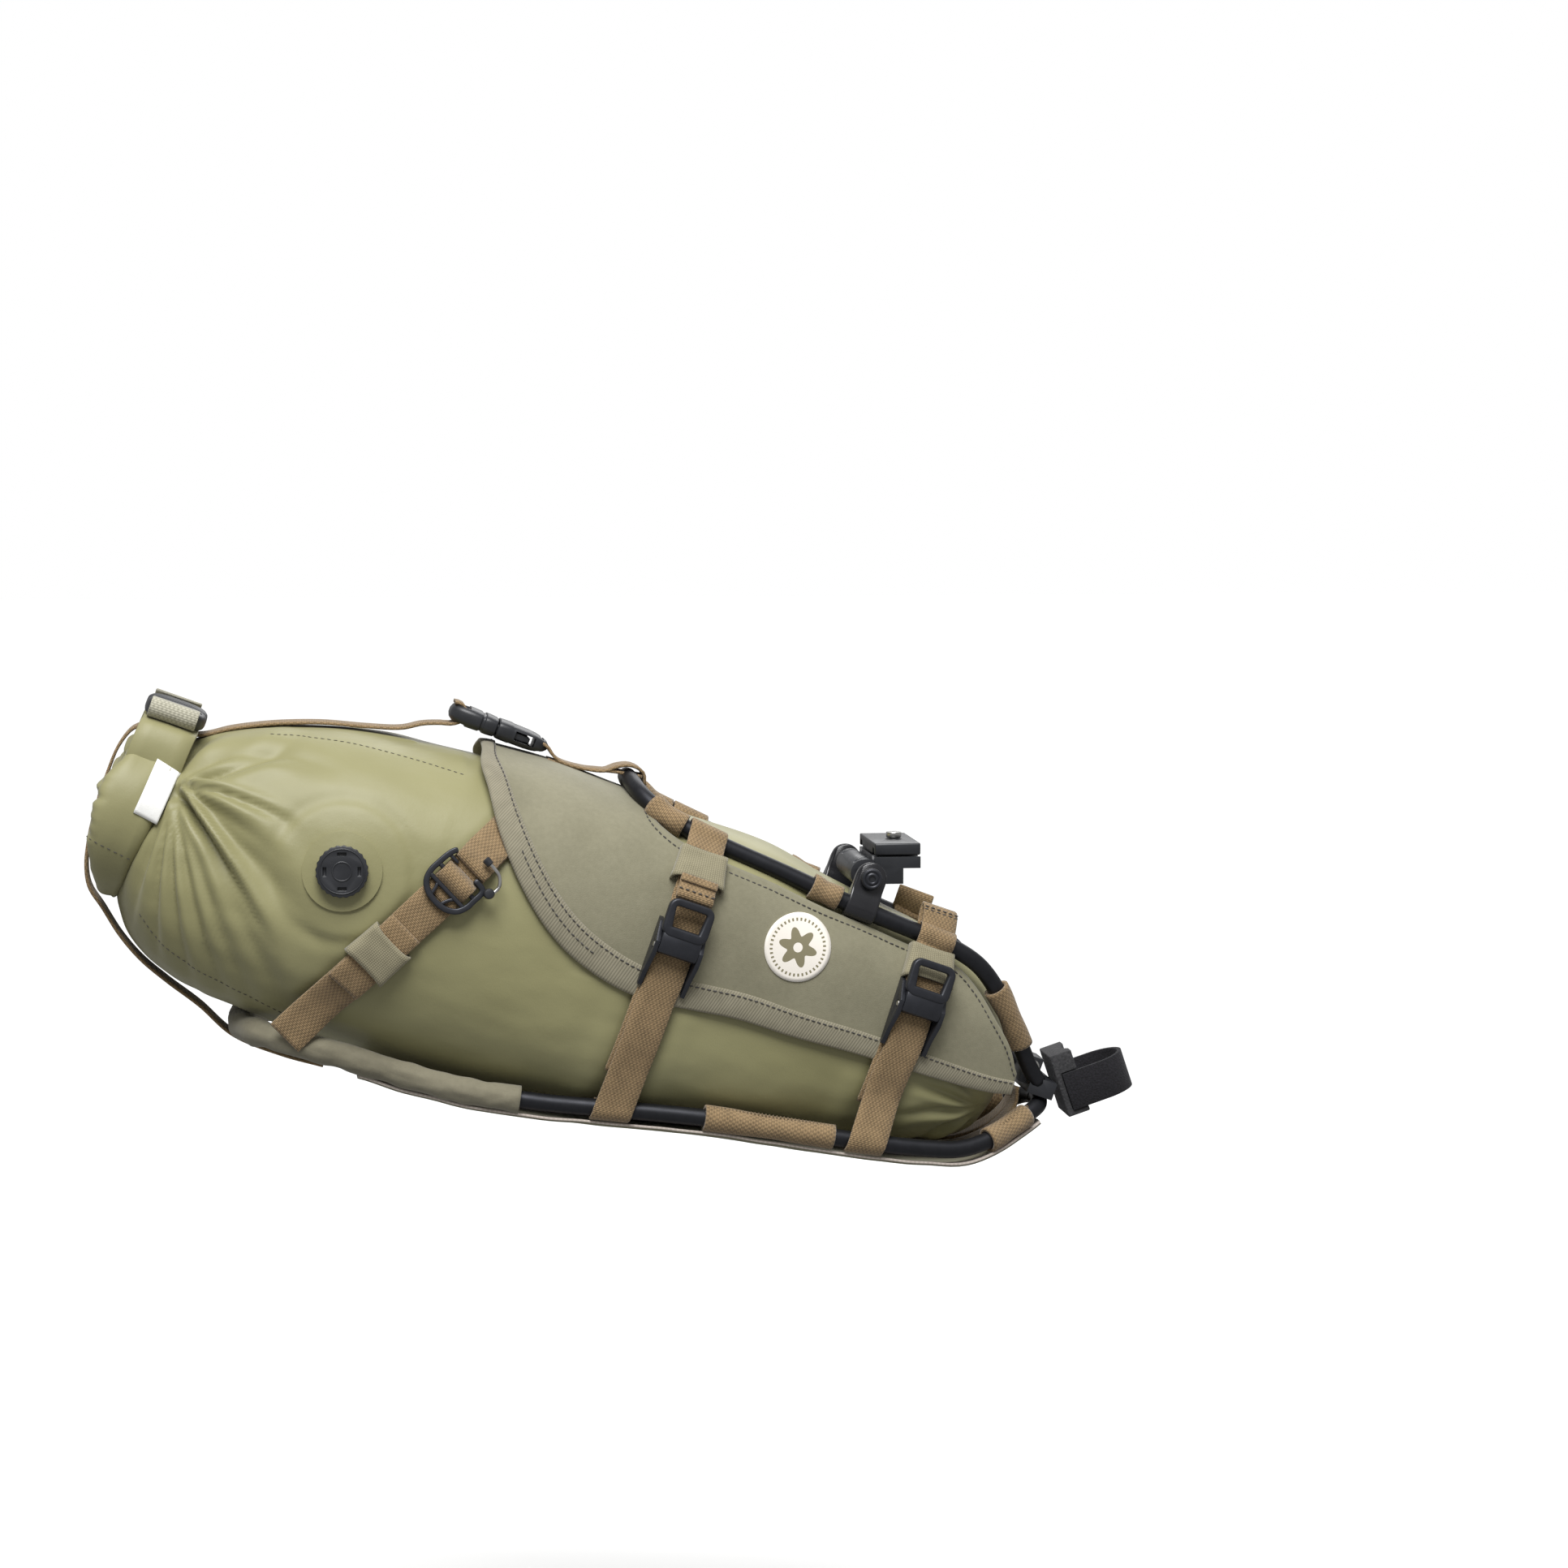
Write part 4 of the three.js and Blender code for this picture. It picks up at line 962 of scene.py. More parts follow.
def roundTube(level, station, side, radius, start, end, count):
    middle = tubeAt(level, station, side)
    middle[0] = station
    across = tubeSlope(level, station, side)
    steps = []
    for i in range(count + 1):
        turn = math.radians(start + (end - start) * i / count)
        steps.append((middle + np.array([0, side * radius * math.cos(turn), radius * math.sin(turn)]), across))
    return steps


def forwards(v):
    return -v if v[0] < 0 else v


def throughFitting(place, halfLength):
    return [(place.at([(0, 0, z)])[0], forwards(place.x)) for z in (-halfLength, halfLength)]


def layOnSide(station, height, side, lift=strapLift):
    out = outOf(station, height, side)
    point = onForm(station, height, side, 0) + out * lift
    point[0] = station
    return point, forwards(unit(np.array([out[1], -out[0], 0])))


sideStrapStations = {"rear": -246, "front": -116}
buckleHeights = {"rear": -4, "front": 6}
keeperHeights = {"rear": 36, "front": 27}
buckles = {(p, n): Place(s, buckleHeights[p], side, strapLift) for n, side in sides.items() for p, s in sideStrapStations.items()}
keepers = {(p, n): Place(s, keeperHeights[p], side, strapLift) for n, side in sides.items() for p, s in sideStrapStations.items()}


def makeSideStrap(place, name, side):
    station = sideStrapStations[place]
    wrap = tubeRadius + 0.35 + 0.25 + webbingThickness / 2
    height = tubeAt("lower", station, side)[2] + 26
    middle = []
    for fitting, halfLength in ((buckles[place, name], 17), (keepers[place, name], 6)):
        ends = throughFitting(fitting, halfLength)
        while height < ends[0][0][2] - 8:
            middle.append(layOnSide(station, height, side))
            height += 12
        middle += ends
        height = ends[1][0][2] + 9
    steps = roundTube("lower", station, side, wrap, -200, 10, 8) + middle + roundTube("upper", station, side, wrap + 0.2, 10, 170, 7)
    parts = [ribbon("strap", steps)]
    low = tubeAt("lower", station, side)[2]
    under = [layOnSide(station, h, side, strapLift - 1.9) for h in np.linspace(low + 20, buckleHeights[place] - 20, 6)]
    under = [(p + np.array([-1.6, 0, 0]), a) for p, a in under]  # the strap's second layer, which comes back up to the buckle
    parts.append(ribbon("layer", under))
    fitting = keepers[place, name]
    if place == "rear":  # the tail, folded into a box and sewn
        tail = [(0, 1.9, 9), (0, 2.6, 2), (0, 3.2, -6), (0, 3.8, -13), (0, 4.3, -18.5), (0, 3.2, -20.8), (0, 1.9, -19), (0, 1.7, -14)]
        parts.append(ribbon("tail", [(fitting.at([p])[0], forwards(fitting.x)) for p in tail], width=19.4))
        cuff = [(0, 5.1, -8), (0, 5.5, -12)]
        parts.append(ribbon("cuff", [(fitting.at([p])[0], forwards(fitting.x)) for p in cuff], width=19.6, thickness=1.4, spacing=1.0))
    else:  # the tail stands up above the tube as a loop
        tail = [(0, 1.9, -8), (0, 2.2, 2), (0, 3.4, 12), (0, 4.4, 22), (0, 3.6, 30), (0, 1.2, 32.5), (0, -1.0, 28), (0, -1.2, 20)]
        parts.append(ribbon("tail", [(fitting.at([p])[0], forwards(fitting.x)) for p in tail], width=19.4))
    piece = joined(f"side_webbing_{place}_{name}", parts)
    return settle(piece, "root", "webbing", f"side_strap_{place}_{name}")


def makeKeeper(place, name, node, length, flare, thick=1.0):
    around, rings = 40, []
    halfX, halfY = webbingWidth / 2 + 1.5, webbingThickness / 2 + 2.6
    for i in range(around):
        turn = 2 * math.pi * i / around
        c, s = math.cos(turn), math.sin(turn)
        ring = []
        steps = np.linspace(-0.5, 0.5, 9)
        for grow, order in ((thick, steps), (0.0, steps[::-1])):
            for z in order:
                open_ = 1 + flare * (0.5 - z) ** 1.5
                x = (halfX + grow) * open_ * np.sign(c) * abs(c) ** 0.35
                y = (halfY + grow) * (1 + 0.7 * flare * (0.5 - z)) * np.sign(s) * abs(s) ** 0.5
                if y < 0:
                    y = max(y, -2.2 - 0.4 * grow)
                lift = 0.5 * noise.noise(Vector((turn, z * 3, 4.0)))
                ring.append((x, y + lift * (s > 0), z * length * (1 + 0.12 * abs(c))))
        rings.append(place.at(ring))
    piece = skin(name, rings, keeperElastic, closedAlong=True)
    return settle(piece, "root", "elastic", node)


for name, side in sides.items():
    for place in sideStrapStations:
        makeSideStrap(place, name, side)
        makeKeeper(keepers[place, name], f"elastic_{place}_{name}", f"keeper_{place}_{name}", 17, 0.14)
print("side straps laid")


def makeDiagonal(name, side):
    slant = math.atan2(diagonalHigh[0] - diagonalLow[0], diagonalHigh[1] - diagonalLow[1])
    flatAcross = np.array([math.cos(slant), 0, -math.sin(slant)])

    def at(k):
        return diagonalLow[0] + (diagonalHigh[0] - diagonalLow[0]) * k, diagonalLow[1] + (diagonalHigh[1] - diagonalLow[1]) * k

    def placeAt(k):
        return Place(*at(k), side, 3, slant, drybagStations)

    def lay(k, lift=3):
        s, t = at(k)
        out = outOf(s, t, side, drybagStations)
        return onForm(s, t, side, 0, drybagStations) + out * lift, unit(flatAcross - out * (out @ flatAcross))

    keeper, hook = placeAt(0.34), placeAt(0.79)
    foot = (np.array([-414.5, side * (tubeAt("lower", -412, 1)[1] + 9.9), -111]), flatAcross)
    steps = [foot, lay(0.02), lay(0.16), *throughFitting(keeper, 8), lay(0.52), *throughFitting(hook, 15)]
    steps += [lay(0.95, 2.2), lay(1.01, 0.5), lay(1.08, -0.7), lay(1.18, -0.9)]  # on under the panel's edge
    parts = [ribbon("strap", steps)]
    bight = ((0.5, -12.5), (0.7, -8.6), (1.5, -4.9), (4.6, -3.2), (5.7, -0.4), (4.9, 2.7), (2.0, 4.4), (0.7, 5.6))
    second = [(hook.at([(0, y, z)])[0], forwards(hook.x)) for y, z in bight]
    parts.append(ribbon("loop", second, width=19.2))
    tail = [lay(k, 4.9) for k in (0.14, 0.24, 0.36, 0.5)]
    parts.append(ribbon("tail", tail, width=19.6))
    upper = [(hook.at([(0, y, z)])[0], forwards(hook.x)) for y, z in ((1.5, 13.6), (1.7, 10.4), (3.1, 9.0), (4.2, 10.2), (3.9, 12.8))] + [lay(0.95, 4.6), lay(1.01, 2.6), lay(1.06, 1.3), lay(1.1, 1.1)]
    parts.append(ribbon("upper", upper, width=19.4))
    piece = joined(f"diagonal_webbing_{name}", parts)
    settle(piece, "root", "webbing", f"diagonal_strap_{name}")
    makeKeeper(keeper, f"elastic_diagonal_{name}", f"keeper_diagonal_{name}", 19, 0.05)
    return hook


hooks = {name: makeDiagonal(name, side) for name, side in sides.items()}

rearStrapRoute = [(-387, 73.6), (-383, 73.9), (-380.2, 71), (-380.4, 66), (-384.5, 62.6), (-391, 60.6), (-399, 57.4), (-408, 52.0), (-426, 46.4), (-446, 41.2), (-462, 35.6), (-474, 30.6), (-490, 22.6), (-502, 15.0), (-512, 12), (-526, 11.5), (-536, 7), (-540.5, -4), (-541.5, -20), (-541, -40), (-539, -56), (-536, -68), (-531, -77.5), (-521, -85.5), (-508, -96), (-494, -104.3), (-478, -110.5), (-458, -117), (-437, -125.8), (-410, -127.4), (-388, -126)]
frontWebRoute = [(-337.5, 68.6), (-334, 67.6), (-330.5, 64.8), (-326, 62.8), (-314, 63.2), (-302, 66), (-297, 70), (-290, 73), (-283, 71.5), (-280.5, 66)]
sideways = np.array([0.0, 1.0, 0.0])


def centred(route):
    return [(np.array([s, 0.0, t]), sideways) for s, t in route]


def makeCentreStraps():
    rear = ribbon("rear_webbing", centred(rearStrapRoute))
    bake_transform(rear)
    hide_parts("rear_strap")
    front = ribbon("strap", centred(frontWebRoute))
    second = ribbon("layer", centred([(-283, 69.5), (-296, 67.4), (-318, 62.3), (-332, 61.5)]), width=19)
    settle(joined("front_webbing", [front, second]), "root", "webbing", "front_web")


makeCentreStraps()


def makeStays():  # webbing from the front bracket down inside the harness and back under the bag
    route = [(-41, 5, -19), (-39.5, 6, -28), (-46, 9, -43), (-58, 12, -54.5), (-75, 15, -62), (-95, 18, -67), (-112, 20, -70)]
    for name, side in sides.items():
        steps = [(np.array([s_, side * y, t]), np.array([0, 1.0, 0])) for s_, y, t in route]
        settle(ribbon("front_stay_" + name, steps, width=18, curl=0.8), "root", "webbing")


makeStays()
print("straps laid")

# ---------- webbing laced round the tubes, and the rear sleeve ----------

laces = [("upper", "rear", -258, -278), ("upper", "middle", -170, -189), ("upper", "front", -51, -76), ("lower", "rear", -133, -201), ("lower", "front", -35, -53)]


def wrapLine(level, start, end, side):
    line = tubeLines[level, side]
    part = line[(line[:, 0] <= start) & (line[:, 0] >= end)]
    return smoothLine(part[::4] if len(part) > 12 else part[::2], 1.6)


def shellRings(line, inner, outer, around=26, wobble=None):
    outside = tubeRings(line, outer, around, wobble)
    inside = tubeRings(line, inner, around)
    return outside + inside[::-1]


for name, side in sides.items():
    for level, where, start, end in laces:
        line = wrapLine(level, start, end, side)

        def edgeFlare(k, turn):
            return 0.25 * np.exp(-((min(k, 1 - k) / 0.08) ** 2)) + 0.22 * np.sin(turn * 2 + k * 5) + 0.25 * math.sin(k * 9)

        rings = shellRings(line, tubeRadius + 0.35, tubeRadius + 1.75, wobble=edgeFlare)
        piece = skin(f"lacing_{level}_{where}_{name}", rings, brownWebbing, closedAlong=True)
        settle(piece, "root", "webbing", f"lace_{level}_{where}_{name}")


def makeSleeve():
    whole = wholeLine(lowerHalf, 1.6)
    line = whole[whole[:, 0] < -292]

    def wrinkles(k, turn):
        ends = np.exp(-((min(k, 1 - k) / 0.02) ** 2))
        wide = 0.9 * noise.noise(Vector((k * 30, 1, 0))) + 0.5 * ends
        return wide + np.array([0.7 * noise.noise(Vector((k * 46 + a * 0.6, math.cos(a) * 1.4, math.sin(a) * 1.4))) for a in turn])

    rings = shellRings(line, tubeRadius + 0.35, tubeRadius + 2.2, 30, wrinkles)
    piece = skin("cloth_sleeve", rings, sleeveCloth, closedAlong=True)
    return settle(piece, "root", "waxed_cloth", "rear_sleeve")


sleeve = makeSleeve()
print("lacing and sleeve made")

# ---------- hard fittings, from the CAD shapes with their edges broken ----------


def turned(name, centre, axis, profile, material, around=32, closedAlong=False):  # profile: (distance along the axis, radius)
    axis = unit(axis)
    a = unit(np.cross(axis, [0.2, 0.3, 1.0]))
    b = np.cross(axis, a)
    turn = np.linspace(0, 2 * np.pi, around, endpoint=False)[:, None]
    rings = [np.array(centre, float) + axis * h + r * (np.cos(turn) * a + np.sin(turn) * b) for h, r in profile]
    return skin(name, rings, material, closedAlong=closedAlong)


def squareRound(halfX, halfZ, corner, count):  # a rectangle with round corners, as points and outward directions
    points, outs = [], []
    for k, (sx, sz) in enumerate([(1, 1), (-1, 1), (-1, -1), (1, -1)]):
        for i in range(count + 1):
            turn = math.pi / 2 * (k + i / count)
            outs.append((math.cos(turn), math.sin(turn)))
            points.append((sx * (halfX - corner) + corner * outs[-1][0], sz * (halfZ - corner) + corner * outs[-1][1]))
    return points, outs


def makeRailBand(name):  # the clamp's band: round the tube below, up to a round eye on the axle
    settings = {"station": -159, "axle": 61.5, "half": 8.0, "outer": 6.5, "eye": 2.4}
    side = sides[name]
    middle = tubeAt("upper", settings["station"], side)
    rise = settings["axle"] - middle[2]
    rings = []
    for x in settings["half"] * np.sin(np.linspace(-np.pi / 2, np.pi / 2, 23)):
        end = 1 - min(1.0, (settings["half"] - abs(x)) / 0.6)
        slim = 0.5 * end
        top = rise + math.sqrt(max(0.0, settings["half"] ** 2 - x * x)) - slim
        around, eye = settings["outer"] - slim, settings["eye"] - slim
        low = [(around * math.cos(a), around * math.sin(a)) for a in np.linspace(np.pi, 2 * np.pi, 17)]
        neck = [(around * 0.99, 1.6), (eye + 1.6, rise - 9), (eye, rise - 6), (eye, top - 0.9), (eye - 0.7, top)]
        outline = low + neck + [(-y, z) for y, z in reversed(neck)]
        rings.append([middle + np.array([x, y, z]) for y, z in outline])
    piece = skin("rail_clamp_band_" + name, rings, glossBlack)
    piece.data.set_sharp_from_angle(angle=math.radians(50))
    settle(piece, "root", "black_plastic", f"rail_band_{name}")


def makeLever(place, name):
    settings = {"pin": 5.6, "halfX": 12.2, "low": 6.0, "high": 25.7, "corner": 5.0, "bar": 3.9, "deep": 4.1}
    fitting = buckles[place, name]
    middleZ, halfZ = (settings["low"] + settings["high"]) / 2, (settings["high"] - settings["low"]) / 2
    points, outs = squareRound(settings["halfX"], halfZ, settings["corner"], 7)
    section, _ = squareRound(settings["bar"] / 2, settings["deep"] / 2, 1.1, 3)
    rings = []
    for (x, z), (ox, oz) in zip(points, outs):
        ring = []
        for w, d in section:
            inwards = w - settings["bar"] / 2
            low = 1.3 if (w < 0 and z < 0) else 1.0
            ring.append((x + ox * inwards * low, settings["pin"] + 1.7 + d - 0.05 * z, z + oz * inwards * low + middleZ))
        rings.append(fitting.at(ring))
    parts = [skin("ring", rings, gunmetal, closedAlong=True)]
    for low, high, front, back, half in ((-3.6, 7.4, 3.9, -3.4, 10.35),):  # the thick cam bar the ring stands on
        profile = [(-3.2, -2.0), (-3.7, 0.6), (-2.9, 2.9), (-0.6, 3.9), (3.5, 3.9), (7.2, 3.7), (8.6, 2.9), (8.8, 0.2), (8.0, -0.6), (3.6, -1.4), (1.4, -3.3), (-1.2, -3.4)]
        across = [-half, -half + 0.5, half - 0.5, half]
        rows = []
        for x in across:
            slim = 0.93 if abs(x) == half else 1.0
            rows.append(fitting.at([(x, settings["pin"] + y * slim, z * slim + 2 * (1 - slim)) for z, y in profile]))
        parts.append(skin("bar", rows, gunmetal))
    for x in (-11.9, 11.9):
        parts.append(turned("pin", fitting.at([(x, settings["pin"], 0)])[0], fitting.x * np.sign(x), [(-3, 1.6), (0.6, 1.6), (1.1, 1.2), (1.2, 0.2)], silver, 20))
    lever = joined(f"cam_lever_{place}_{name}", parts)
    lever.data.set_sharp_from_angle(angle=math.radians(35))
    settle(lever, f"cam_buckle_{place}_{name}_lever", "black_plastic", f"cam_buckle_{place}_{name}_lever")


def makeHook(name):  # a D-shaped ring with two bars, two struts and a pair of lips at its open end
    settings = {"low": 1.35, "high": 4.25, "ring": 3.0, "bar": 2.3, "strut": 1.7, "lip": 1.9, "corner": 0.75}
    fitting, side = hooks[name], sides[name]
    ringLine = [(-10.9, 11.4), (-12.0, 9.2), (-12.7, 5.6), (-13.0, 0.0), (-12.9, -5.4), (-10.9, -10.4), (-6.2, -13.7), (0, -14.6)]
    ringLine += [(6.2, -13.7), (10.9, -10.4), (12.9, -5.4), (13.0, 0.0), (13.1, 4.0), (12.2, 6.3), (9.4, 6.9), (6.0, 6.9)]
    strokes = [
        (ringLine, settings["ring"]),
        ([(-12.4, -6.8), (0, -6.8), (12.4, -6.8)], settings["bar"]),
        ([(-12.6, 0.1), (0, 0.1), (12.6, 0.1)], settings["bar"]),
        ([(-4.2, -13.6), (-5.0, -10.0), (-6.2, -7.0)], settings["strut"]),
        ([(2.6, -13.8), (3.8, -10.2), (5.6, -7.0)], settings["strut"]),
        ([(-12.3, 6.9), (-9.0, 6.9), (-6.0, 6.9)], settings["lip"]),
    ]
    middle, thick = (settings["low"] + settings["high"]) / 2, (settings["high"] - settings["low"]) / 2
    parts = []
    for number, (route, width) in enumerate(strokes):
        line = smoothLine([(u, 0, z) for u, z in route], 0.8)
        along = tangents(line)
        deep = thick - 0.12 * number  # no two parts share a face
        section, _ = squareRound(width / 2, deep, min(settings["corner"], width * 0.35), 3)
        rings = []
        for i, (p, a) in enumerate(zip(line, along)):
            slim = 0.72 if i in (0, len(line) - 1) else 1.0
            ring = [(p[0] - a[2] * w * slim, middle + d * slim, p[2] + a[0] * w * slim) for w, d in section]
            rings.append(fitting.at([(side * u, y, z) for u, y, z in ring]))
        parts.append(skin("stroke", rings, gunmetal))
    ring = joined("ladder_hook_" + name, parts)
    ring.data.set_sharp_from_angle(angle=math.radians(40))
    settle(ring, "root", "black_plastic", "hook_buckle_" + name)


def makeGate(name):  # the hook's wire gate, with a black knob at each end
    settings = {"height": 6.9, "wire": 0.95, "pivot": (15.4, 7.0), "tip": (3.6, 17.6)}
    fitting, side = hooks[name], sides[name]
    route = [(15.6, 5.6), (16.6, 9.0), (16.4, 13.0), (12.6, 16.8), (8.0, 17.6), (3.0, 17.6)]
    line = smoothLine([(u, settings["height"], z) for u, z in route], 0.8)
    wire = skin("wire", tubeRings(fitting.at(line * [side, 1, 1]), settings["wire"], 14), silver)
    pivot, tip = (fitting.at([(side * u, 0, z)])[0] for u, z in (settings["pivot"], settings["tip"]))
    button = [(4.4, 1.9), (4.5, 2.5), (5.2, 2.7), (8.0, 2.7), (8.6, 2.3), (8.8, 1.5), (8.8, 0.2)]
    knobs = [turned("knob", pivot, fitting.y, button, buckleBlack, 28)]
    end = [(-2.0, 0.3), (-2.0, 1.5), (-1.5, 2.0), (1.5, 2.0), (2.0, 1.5), (2.0, 0.3)]
    knobs.append(turned("knob", tip + fitting.y * settings["height"], fitting.x, end, buckleBlack, 24))
    piece = joined("gate_wire_" + name, [wire, *knobs])
    piece.data.set_sharp_from_angle(angle=math.radians(40))
    settle(piece, nodes["wire_gate_" + name]["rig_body"], "steel", "wire_gate_" + name)


for name in sides:
    for place in sideStrapStations:
        softened(f"cam_buckle_{place}_{name}_frame", gunmetal, 0.7, "black_plastic")
        makeLever(place, name)
    makeHook(name)
    makeGate(name)
    makeRailBand(name)
softened("rail_axle", buckleBlack, 0.4, "anodised_tube")
softened("rail_jaw_lower", buckleBlack, 0.9, "black_plastic", 3)
softened("rail_jaw_upper", buckleBlack, 0.9, "black_plastic", 3)
softened("rail_jaw_screw", silver, 0.4, "steel")
softened("front_bracket", buckleBlack, 0.6, "black_plastic")
softened("bracket_screw", silver, 0.3, "steel")
softened("seatpost_block", denseFoam, 1.4, "foam", 3)
softened("valve_cap", buckleBlack, 0.35, "black_plastic")
softened("valve_flange", coatedOlive, 0.5, "coated_cloth")
softened("seatpost_strap", hookAndLoop, 0.5, "hook_and_loop")
print("fittings finished")

# ---------- side-release buckles ----------


def boxTool(name, low, high, along, across, up, origin):  # a box in a fitting's own axes, for cutting with
    corners = [(x, y, z) for x in (low[0], high[0]) for y in (low[1], high[1]) for z in (low[2], high[2])]
    points = [origin + along * x + across * y + up * z for x, y, z in corners]
    faces = [(0, 1, 3, 2), (4, 6, 7, 5), (0, 4, 5, 1), (2, 3, 7, 6), (0, 2, 6, 4), (1, 5, 7, 3)]
    return meshPiece(name, toRow(points), faces, buckleBlack, smooth=False)


def cutAway(piece, tools):
    for tool in tools:
        cut = piece.modifiers.new("cut", "BOOLEAN")
        cut.operation = "DIFFERENCE"
        cut.solver = "EXACT"
        cut.object = tool
    applied(piece)
    for tool in tools:
        bpy.data.objects.remove(tool)
    bevel = piece.modifiers.new("edges", "BEVEL")
    bevel.width = 0.0003
    bevel.segments = 2
    bevel.limit_method = "ANGLE"
    bevel.angle_limit = math.radians(40)
    applied(piece)
    piece.data.polygons.foreach_set("use_smooth", [True] * len(piece.data.polygons))
    piece.data.set_sharp_from_angle(angle=math.radians(38))
    return piece


def makeSideRelease(node, origin, along, across, up, width, grow=1.0):
    settings = {"corner": 3.6, "around": 48}
    turn = np.linspace(0, 2 * np.pi, settings["around"], endpoint=False)
    c, s = np.cos(turn), np.sin(turn)
    ringY = np.sign(c) * np.abs(c) ** (2 / settings["corner"])
    ringZ = np.sign(s) * np.abs(s) ** (2 / settings["corner"])

    def loft(name, rows):
        rings = []
        for x, halfWidth, halfThick in rows:
            rings.append(origin + along * (x * grow) + np.outer(ringY * halfWidth * width / 28, across) + np.outer(ringZ * halfThick, up))
        return skin(name, rings, buckleBlack)

    side = width / 2
    female = loft("female", [(0.0, 13.4, 4.5), (0.5, 13.9, 5.1), (2.0, 14.0, 5.3), (7, 14.0, 5.4), (8, 13.7, 5.1), (9, 13.7, 5.1), (16, 13.5, 5.0), (20, 12.6, 4.7), (23.5, 11.0, 4.0), (26.2, 8.8, 3.0), (27.8, 6.4, 1.6)])
    window = boxTool("window", (9.5 * grow, -side - 2, -2.3), (20.5 * grow, side + 2, 2.5), along, across, up, origin)
    mouth = boxTool("mouth", (-2, -side + 2.2, -3.3), (19 * grow, side - 2.2, 3.3), along, across, up, origin)
    slot = boxTool("slot", (22.6 * grow, -side * 0.62, -7), (24.6 * grow, side * 0.62, 7), along, across, up, origin)
    cutAway(female, [window, mouth, slot])
    male = loft("male", [(-0.6, 13.2, 4.3), (-1.1, 13.8, 5.0), (-4.5, 14.0, 5.3), (-7.0, 14.0, 5.3), (-7.6, 13.2, 4.6), (-8.8, 13.2, 4.6), (-9.4, 13.9, 5.2), (-14, 13.8, 5.4), (-19, 13.2, 5.4), (-23, 11.6, 4.8), (-25, 9.4, 3.4), (-25.8, 6.6, 1.6)])
    cutAway(male, [boxTool("slot", (-19.8 * grow, -side * 0.78, -8), (-16.2 * grow, side * 0.78, 8), along, across, up, origin)])
    parts = [male]
    for y in (side - 3.6, 0, -side + 3.6):
        rows = []
        for i in range(27):
            x = -1.0 + 18.5 * grow * i / 26
            rib = 0.25 * (i % 2) if y else 0.0
            slim = 1 - 0.35 * max(0, i - 21) / 5
            rows.append(origin + along * x + np.outer(ringY * (1.5 + rib) * slim + y, across) + np.outer(ringZ * (1.9 + rib) * slim, up))
        parts.append(skin("prong", rows, buckleBlack))
    male = joined(node + "_male_half", parts)
    female.name = node + "_female_half"
    settle(female, "root", "black_plastic", node + "_female")
    settle(male, node + "_male", "black_plastic", node + "_male")


topAxis = np.array([math.cos(0.03), 0.0, -math.sin(0.03)])
topUp = np.array([math.sin(0.03), 0.0, math.cos(0.03)])
makeSideRelease("top_buckle", np.array([-362.0, 0, 68.0]), topAxis, np.array([0.0, 1, 0]), topUp, 28)
makeSideRelease("closure_buckle", np.array([-519.0, -1, 21.2]), np.array([0.0, 1, 0]), np.array([-1.0, 0, 0]), np.array([0.0, 0, 1]), 32, 1.2)


def makeClosureTape():  # the stiff strip at the mouth of the bag, ending in the closure buckle
    for name, side in sides.items():
        end = 37 if side > 0 else -33
        route = [(-520, end - side * 9, 17.0), (-520, end - side * 4, 17.2), (-520, end, 20.6), (-520, end - side * 1.2, 25.2), (-520, end - side * 6, 26.4)]
        tape = ribbon("closure_tape_" + name, [(np.array(p), np.array([1.0, 0, 0.0])) for p in route], greyTape, 25, 1.3, 1.4)
        if side > 0:
            settle(tape, "root", "webbing")
        else:
            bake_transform(tape)
        ear = [(-521, side * 27, -22), (-521, side * 36, -12), (-521, side * 37.5, -2), (-520.5, side * 36, 8), (-520, side * 32.5, 13.5), (-519.5, side * 25, 15.2), (-519.5, side * 16, 15.0)]
        cloth = ribbon("roll_end_" + name, [(np.array(p, float), np.array([1.0, 0, 0.0])) for p in ear], coatedOlive, 29, 2.4, 1.6, 1.2)
        settle(cloth, "root", "coated_cloth")


makeClosureTape()
print("buckles made")

# ---------- stitches ----------


